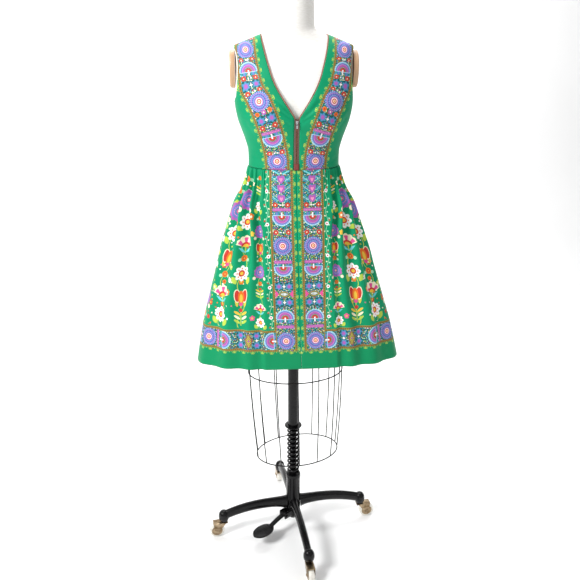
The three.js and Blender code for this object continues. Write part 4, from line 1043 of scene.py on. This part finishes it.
# Tucks: place counted in folds from the centre, drop where each starts and ends, half width, depth.
TUCKS = {
    ("front", "left"): [(2.2, 0, 82, 0.16, 2.2), (2.7, 0, 54, 0.1, 1.6), (3.5, 0, 140, 0.14, 2.6),
        (4.9, 0, 105, 0.12, 3), (5.5, 0, 175, 0.16, 2.2), (6.6, 0, 128, 0.14, 2.8),
        (7.5, 0, 245, 0.16, 2.4), (8.6, 0, 93, 0.12, 2), (1.2, 0, 47, 0.2, 1),
        (5.2, 233, 606, 0.5, 2.4), (8.2, 186, 629, 0.6, -2.6), (1.1, 303, 634, 0.5, 1.4)],
    ("front", "right"): [(2.3, 0, 105, 0.15, 2.4), (2.8, 0, 58, 0.1, 1.4), (3.4, 0, 116, 0.14, 2.2),
        (4.6, 0, 151, 0.13, 2.8), (5.6, 0, 105, 0.14, 2.6), (6.4, 0, 198, 0.15, 2.2),
        (7.6, 0, 140, 0.16, 3), (8.5, 0, 233, 0.14, 1.8), (0.8, 0, 42, 0.2, 1),
        (4.8, 280, 634, 0.5, 2.2), (7.7, 163, 582, 0.6, -2.4), (1.6, 350, 634, 0.5, 1.6)],
    ("back", "left"): [(0.6, 0, 128, 0.14, 2.4), (1.3, 0, 186, 0.16, 2.6), (2.4, 0, 93, 0.14, 2.2),
        (3.6, 0, 140, 0.14, 2.6), (5, 0, 116, 0.14, 2.6), (6.5, 0, 163, 0.15, 2.2),
        (8.4, 0, 105, 0.14, 2), (1.5, 210, 634, 0.6, 3), (5.4, 256, 634, 0.6, 2.4)],
    ("back", "right"): [(0.7, 0, 163, 0.14, 2.2), (1.5, 0, 116, 0.16, 2.8), (2.2, 0, 140, 0.14, 2),
        (3.4, 0, 105, 0.14, 2.6), (4.8, 0, 175, 0.14, 2.4), (6.6, 0, 105, 0.15, 2.6),
        (8.6, 0, 151, 0.14, 2), (1.2, 256, 634, 0.6, 2.6), (5.2, 186, 634, 0.6, 2.8)]}


@lru_cache(maxsize=None)
def skirt_level(drop):
    section = tuple(between(SKIRT, drop, column) for column in range(1, 6))
    angles = [between([(0, waist), (257, middle), (634, hem)], drop, 1) for waist, middle, hem, _ in FOLDS]
    return section, angles


def skirt_point(position, drop, back, sign, tucks, lift):
    section, angles = skirt_level(drop)
    oval_section, fold = section[:4], section[4]
    first = min(len(FOLDS) - 2, int(position))
    share = position - first
    soft = (1 - math.cos(math.pi * share)) / 2
    depth = (FOLDS[first][3] * (1 - soft) + FOLDS[first + 1][3] * soft) * fold
    for spot, start, end, width, deep in tucks:
        if start - 20 < drop < end and abs(position - spot) < 3 * width:
            ease = min(1, (drop - start + 20) / 60 if start else 1) * min(1, (end - drop) / (0.6 * (end - start)))
            depth += TUCK_FULLNESS * deep * ease * math.exp(-((position - spot) / width) ** 2)
    seam = math.degrees(0.03 / section[1])
    plain = angles[first] * (1 - share) + angles[first + 1] * share
    angle = max(seam, min(90 - seam, plain))
    around = sign * (180 - angle if back else angle)
    x, y = oval(oval_section, around)
    ahead, behind = Vector(oval(oval_section, around + 0.5)), Vector(oval(oval_section, around - 0.5))
    along = (ahead - behind).normalized()
    facing = math.cos(math.radians(around))
    hem = HEM_SIDE if back else HEM_SIDE + (HEM_FRONT - HEM_SIDE) * abs(facing) ** 1.5
    height = SKIRT_TOP - drop / SKIRT_DROP * (SKIRT_TOP - hem)
    sway = HEM_SWAY * (drop / SKIRT_DROP) ** 1.5
    return Vector((x + sway + along.y * (lift - depth), y - along.x * (lift - depth), height))


BAND_MIDDLE, BORDER_MIDDLE = 46, 95.3
SKIRT_MOTIFS = [(95.3, ROSETTE, 1, 132.8), (141.6, SCALLOP, 1, 149.1), (177.2, LUNETTE, 1, 201.3),
                (220.4, TWINS, 1, 234.4), (246.6, LENS, 1, 258.7), (270.7, TWINS, 1, 287.5),
                (322.0, LUNETTE, 0, 339.7), (346.7, SCALLOP, 1, 353.8), (395.5, ROSETTE, 1, 427.6),
                (436.7, DOTS, 1, 446.9), (475.6, LUNETTE, 0, 497.4), (503.5, SCALLOP, 1, 509.6),
                (517.3, DOTS, 1, 525.0), (534.9, HEART, 1, 550.2), (563.8, HEART, 1, 577.3),
                (590.3, HEART, 1, 603.1), (608.5, LEAVES, 1, 617.0)]
BORDER_MOTIFS = [(95, LUNETTE, 1, 120), (141, TWINS, 1, 154), (167, MEDALLION, 1, 181), (195, TWINS, 1, 212),
                 (247, LUNETTE, 0, 272), (279, SCALLOP, 1, 285), (315, ROSETTE, 1, 343), (370, LUNETTE, 1, 392),
                 (410, TWINS, 1, 424), (437, MEDALLION, 1, 452), (466, TWINS, 1, 480)]


def folk_dots(tree, ink, u, v, where):
    """Loose dots and small blossoms, thicker towards the sides of the skirt."""
    spot = flat_point(tree, u, v)
    for pitch, size, spread, density in ((17, 2, 1.3, 0.02), (38, 5.5, 4, 0.16)):
        cell = cells(tree, spot, 1 / pitch, 0.7)
        middle = tree.nodes.new("ShaderNodeSeparateXYZ")
        tree.links.new(cell.outputs["Position"], middle.inputs[0])
        x, y = (here - Field(tree, middle.outputs[i]) for i, here in ((0, u), (1, v)))
        first, second, third = parts_of(tree, cell.outputs["Color"])
        grows = (first - (u - 130) * 0.003 - density).below(0) * where
        r, turn = x.far(y), x.step("ARCTAN2", y)
        radius = second * spread + size
        petals = abs((turn * 2.5).step("COSINE")) * radius * 0.3
        hue = choices(tree, third, [(0, WHITE), (0.2, ORANGE), (0.36, LIME), (0.5, RED), (0.64, MAGENTA), (0.76, CREAM),
                                    (0.88, YELLOW)])
        ink.lay((r - radius * 0.8 - petals).below(0) * grows, hue)
        if pitch > 20:
            ink.lay((r - radius * 0.4).below(0) * grows, choices(tree, second, [(0, RED), (0.4, YELLOW), (0.7, CREAM)]))


DAISY, POMPON, BUD, FAN, TULIP, SPRIG = range(1, 7)
FIELD_WIDTH = 600


def folk_flowers(tree, ink, u, v, where):
    """Columns of folk flowers with their leaves, on winding stems."""
    spans = choices(tree, u / FIELD_WIDTH, [(start / FIELD_WIDTH, (middle / FIELD_WIDTH, scale / 2, 0, 1))
                                            for start, middle, scale, _ in FLOWER_COLUMNS])
    column, scale, _ = parts_of(tree, spans)
    scale = scale * 2
    look_ups = [strip(tree, v, SKIRT_RISE, [(middle, kind, 1, end) for middle, kind, end in motifs])
                for _, _, _, motifs in FLOWER_COLUMNS]
    look_up = look_ups[0]
    for (start, *_), further in zip(FLOWER_COLUMNS[1:], look_ups[1:]):
        look_up = mixed(tree, u.above(start), look_up, further)
    middle, kind, _ = parts_of(tree, look_up)
    x = (u - column * FIELD_WIDTH) / scale
    y = (v - middle * SKIRT_RISE) / scale
    kind = kind * KINDS
    ink.lay(abs(x - (v / 19).step("SINE") * 8).below(0.8) * v.below(410) * where, LIME)
    x = x + where * -FAR_OFF + FAR_OFF

    at = only(x, kind, DAISY)
    side = abs(at)
    r, turn = at.far(y), at.step("ARCTAN2", y)
    ink.lay(((side - 15).far(y + 13) + abs(side - y * 0.6 - 24) * 0.6).below(9), LIME)
    ink.lay((r - abs(turn.wave(4)) * 4.4).below(12), WHITE)
    ink.lay(r.within(8.4, 11) * abs(turn.wave(4)).above(0.85), ORANGE)
    ink.rings(r, (6.6, RED), (3.6, YELLOW))

    at = only(x, kind, POMPON)
    side = abs(at)
    r, turn = at.far(y), at.step("ARCTAN2", y)
    ink.lay(((side - 19).far(y + 17)).below(5), CREAM)
    ink.lay((r - abs(turn.wave(5)) * 3.4).below(17), ORCHID)
    ink.lay((r - abs(turn.wave(10)) * 1.6).below(13.4), PERIWINKLE)
    ink.lay(r.within(8, 10) * turn.wave(16).above(0), PINK)
    ink.rings(r, (6.4, TEAL), (4.4, MAGENTA), (2, CREAM))

    at = only(x, kind, BUD)
    side = abs(at)
    ink.lay((side - 9).far(y + 3).below(3.6), MINT)
    ink.rings(at.far(y), (6.4, ORANGE), (3.2, RED), (1.5, YELLOW))

    at = only(x, kind, FAN)
    side = abs(at)
    r, turn = at.far(y + 9), at.step("ARCTAN2", y + 9)
    cup = (y - side * 0.35).above(-9)
    ink.lay((r - abs(turn.wave(7)) * 2.4).below(22) * cup, CREAM)
    ink.lay(r.below(20) * cup * turn.wave(7).above(0), MAGENTA)
    ink.lay(r.below(11) * cup, RED)
    ink.lay(r.below(7) * cup, YELLOW)
    ink.lay(side.below(1.3) * y.within(-22, -9), LIME)
    ink.lay((abs(y + 19 - side * 0.7) + abs(side - 7) * 0.4).below(3.6) * side.below(15), CYAN)

    at = only(x, kind, TULIP)
    side = abs(at)
    ink.lay(side.below(1.2) * y.within(-28, -12), LIME)
    ink.lay(((side - 9) / 3.4).far((y + 19 - side * 0.9) / 8).below(1), YELLOW)
    ink.lay(((side - 8.4) / 1.7).far((y + 19 - side * 0.9) / 6).below(1), LIME)
    ink.lay(((side - 8) / 7.4).far((y - side * 0.35) / 14).below(1), CREAM)
    ink.lay(((side - 8) / 5.6).far((y - side * 0.35) / 12).below(1), RED)
    ink.lay((at / 6.6).far((y + 1) / 14).below(1), ORANGE)
    ink.lay((at / 3.4).far((y + 3) / 9).below(1), YELLOW)
    ink.lay(at.far(y + 15).below(4), MAGENTA)

    at = only(x, kind, SPRIG)
    side = abs(at)
    ink.lay(side.below(1) * y.within(-16, 14), LIME)
    for rise, colour in ((-9, LIME), (0, CREAM), (9, YELLOW)):
        ink.lay(((side - 8) / 6.4).far((y - rise - side * 0.6 + 3) / 3).below(1), colour)
    ink.lay(at.far(y - 16).below(3.8), RED)


# Columns of flowers: where each starts, its middle line, its scale, and its motifs from the
# border upwards, as middle, kind and end.
FLOWER_COLUMNS = [
    (0, 126, 1, [(154, DAISY, 176), (199, FAN, 224), (244, SPRIG, 262), (276, BUD, 287), (312, POMPON, 338),
                 (350, BUD, 361), (384, TULIP, 408), (434, POMPON, 459), (474, BUD, 486), (508, DAISY, 530),
                 (552, SPRIG, 574), (590, BUD, 617)]),
    (156, 194, 1.5, [(166, SPRIG, 196), (232, TULIP, 272), (306, DAISY, 334), (352, BUD, 366), (398, FAN, 436),
                     (460, DAISY, 486), (524, POMPON, 560), (586, BUD, 617)]),
    (233, 272, 1.5, [(172, DAISY, 204), (240, FAN, 276), (296, BUD, 312), (348, TULIP, 386), (420, DAISY, 450),
                     (486, POMPON, 518), (548, BUD, 562), (590, DAISY, 617)]),
    (314, 352, 1.4, [(164, BUD, 178), (214, POMPON, 246), (276, SPRIG, 304), (340, DAISY, 370), (400, TULIP, 436),
                     (470, DAISY, 500), (532, FAN, 566), (590, BUD, 617)])]


def paint_skirt(tree, ink, u, v):
    low, high = BORDER_MIDDLE - BAND_EDGE, BORDER_MIDDLE + BAND_EDGE
    inner, outer = BAND_MIDDLE - BAND_EDGE, BAND_MIDDLE + BAND_EDGE
    ink.lay(v.below(low), dye(0, 142, 90))
    field = v.above(high + 5)
    folk_dots(tree, ink, u, v, field * u.above(outer + 30))
    folk_flowers(tree, ink, u, v, field * u.above(outer + 15))
    vine = u - outer - 9 - (v / 9).step("SINE") * 3.4
    ink.lay(abs(vine).below(0.7) * field, MINT)
    for aside, pitch, size, colour in ((5, 19, 2.4, MINT), (-5, 23, 2.2, CREAM), (4.4, 47, 2.6, RED)):
        ink.lay((vine - aside).far(v.repeat(pitch)).below(size) * field, colour)
    bloom = (u - outer - 9).far((v + 20).repeat(96))
    for reach, colour in ((5.6, WHITE), (2.4, RED)):
        ink.lay(bloom.below(reach) * field, colour)
    hooks(ink, u - BAND_MIDDLE, v, 34, u.below(inner) * v.above(low))
    hooks(ink, v - BORDER_MIDDLE, u, 31, v.below(low))
    to_side = u.above(BAND_MIDDLE + BAND_HALF) * v.below(high)
    across = (u - BAND_MIDDLE) + ((v - BORDER_MIDDLE) - (u - BAND_MIDDLE)) * to_side
    along = v + (u - v) * to_side
    band = abs(u - BAND_MIDDLE).below(BAND_EDGE) * v.above(low)
    border = v.within(low, high) * u.above(BAND_MIDDLE + BAND_HALF)
    look_up = mixed(tree, to_side, strip(tree, v, SKIRT_RISE, SKIRT_MOTIFS),
                    strip(tree, u, SKIRT_RISE, BORDER_MOTIFS))
    folk_band(tree, ink, across, along, look_up, SKIRT_RISE, band.larger(border))
    corner = u.within(inner, BAND_MIDDLE + BAND_HALF)
    ink.lay(gold_lines(abs(v - BORDER_MIDDLE)) * v.below(BORDER_MIDDLE) * corner, GOLD)


skirt_print = cloth_shader("printed cotton sateen of the skirt", paint_skirt)
COLUMNS, LEVELS = 160, 120
for side, sign in (("left", 1), ("right", -1)):
    for face in ("front", "back"):
        grid = []
        for level in range(LEVELS + 1):
            drop = SKIRT_DROP * (1 - level / LEVELS)
            row, travel = [], 0
            for column in range(COLUMNS + 1):
                edge = column in (0, COLUMNS) or level == LEVELS
                spot = skirt_point(10 * column / COLUMNS, drop, face == "back", sign, TUCKS[face, side],
                                   CLOTH - (WAIST_TUCK if level == LEVELS else 0.8 if edge else 0))
                travel += (spot - row[-1][0]).length if row else 0
                row.append((spot, travel))
            grid.append(row)

        def place(share, rise):
            spot, travel = grid[round(rise * LEVELS)][round(share * COLUMNS)]
            return spot * MM, (travel * MM, rise * SKIRT_RISE * MM)

        panel = piece(f"dress_skirt_{face}_{side}", [cover(COLUMNS, LEVELS, place)], skirt_print, "form",
                      [f"skirt_{face}_{side}"], smooth=70)
        thicken(panel, CLOTH_WALL)

# A white studio floor that curves up into the wall behind, soft light from large lamps above
# and to both sides, and the camera a little above the shoulders, looking down.
studio_white = finish("white studio paper", dye(250, 250, 250), dye(247, 247, 247), 0.9, 0.02, grain=1.5,
                      relief=0.0001, fine=60)
sweep = bmesh.new()
rim = [sweep.verts.new((-5, -4, 0)), sweep.verts.new((-5, 2.2, 0))]
rim += [sweep.verts.new((-5, 2.2 + 1.2 * math.sin(t), 1.2 - 1.2 * math.cos(t))) for t in
        (math.pi / 2 * i / 16 for i in range(1, 17))]
rim.append(sweep.verts.new((-5, 3.4, 5)))
lines = [sweep.edges.new(pair) for pair in zip(rim, rim[1:])]
moved = bmesh.ops.extrude_edge_only(sweep, edges=lines)["geom"]
bmesh.ops.translate(sweep, verts=[part for part in moved if isinstance(part, bmesh.types.BMVert)], vec=(10, 0, 0))
bmesh.ops.recalc_face_normals(sweep, faces=sweep.faces)
sweep_mesh = bpy.data.meshes.new("studio_floor")
sweep.to_mesh(sweep_mesh)
sweep.free()
sweep_mesh.materials.append(studio_white)
sweep_mesh.shade_smooth()
studio_floor = bpy.data.objects.new("studio_floor", sweep_mesh)
bpy.context.scene.collection.objects.link(studio_floor)
world = bpy.data.worlds.new("studio")
world.use_nodes = True
world.node_tree.nodes["Background"].inputs["Color"].default_value = (1, 1, 1, 1)
world.node_tree.nodes["Background"].inputs["Strength"].default_value = 0.27
bpy.context.scene.world = world
bpy.context.scene.view_settings.view_transform = "Standard"
for name, place, aim, size, power in (("key", (-2.5, -1.7, 3.0), (0, 0, 1.2), 1, 135),
                                      ("fill", (2.4, -2.2, 2.2), (0, 0, 1.2), 2.4, 11),
                                      ("top", (0.3, 0.6, 3.8), (0, 0, 1.2), 2.6, 62),
                                      ("low", (0, -3, 0.7), (0, 0, 1.2), 2, 9),
                                      ("wall", (0, 1.2, 3.4), (0, 3.4, 1), 2.6, 75)):
    lamp = bpy.data.lights.new(name, "AREA")
    lamp.shape, lamp.size, lamp.energy = "SQUARE", size, power
    lamp_object = bpy.data.objects.new(name, lamp)
    lamp_object.location = place
    lamp_object.rotation_euler = (Vector(aim) - Vector(place)).to_track_quat("-Z", "Y").to_euler()
    bpy.context.scene.collection.objects.link(lamp_object)
lens = bpy.data.cameras.new("camera")
lens.lens, lens.sensor_width = 40.5, 36
camera = bpy.data.objects.new("camera", lens)
turn = math.radians(-4.4)
aside = -0.0113
camera.location = (2 * math.sin(turn) + aside * math.cos(turn), -2 * math.cos(turn) + aside * math.sin(turn), 1.664)
camera.rotation_euler = (math.radians(70), 0, turn)
bpy.context.scene.collection.objects.link(camera)
bpy.context.scene.camera = camera
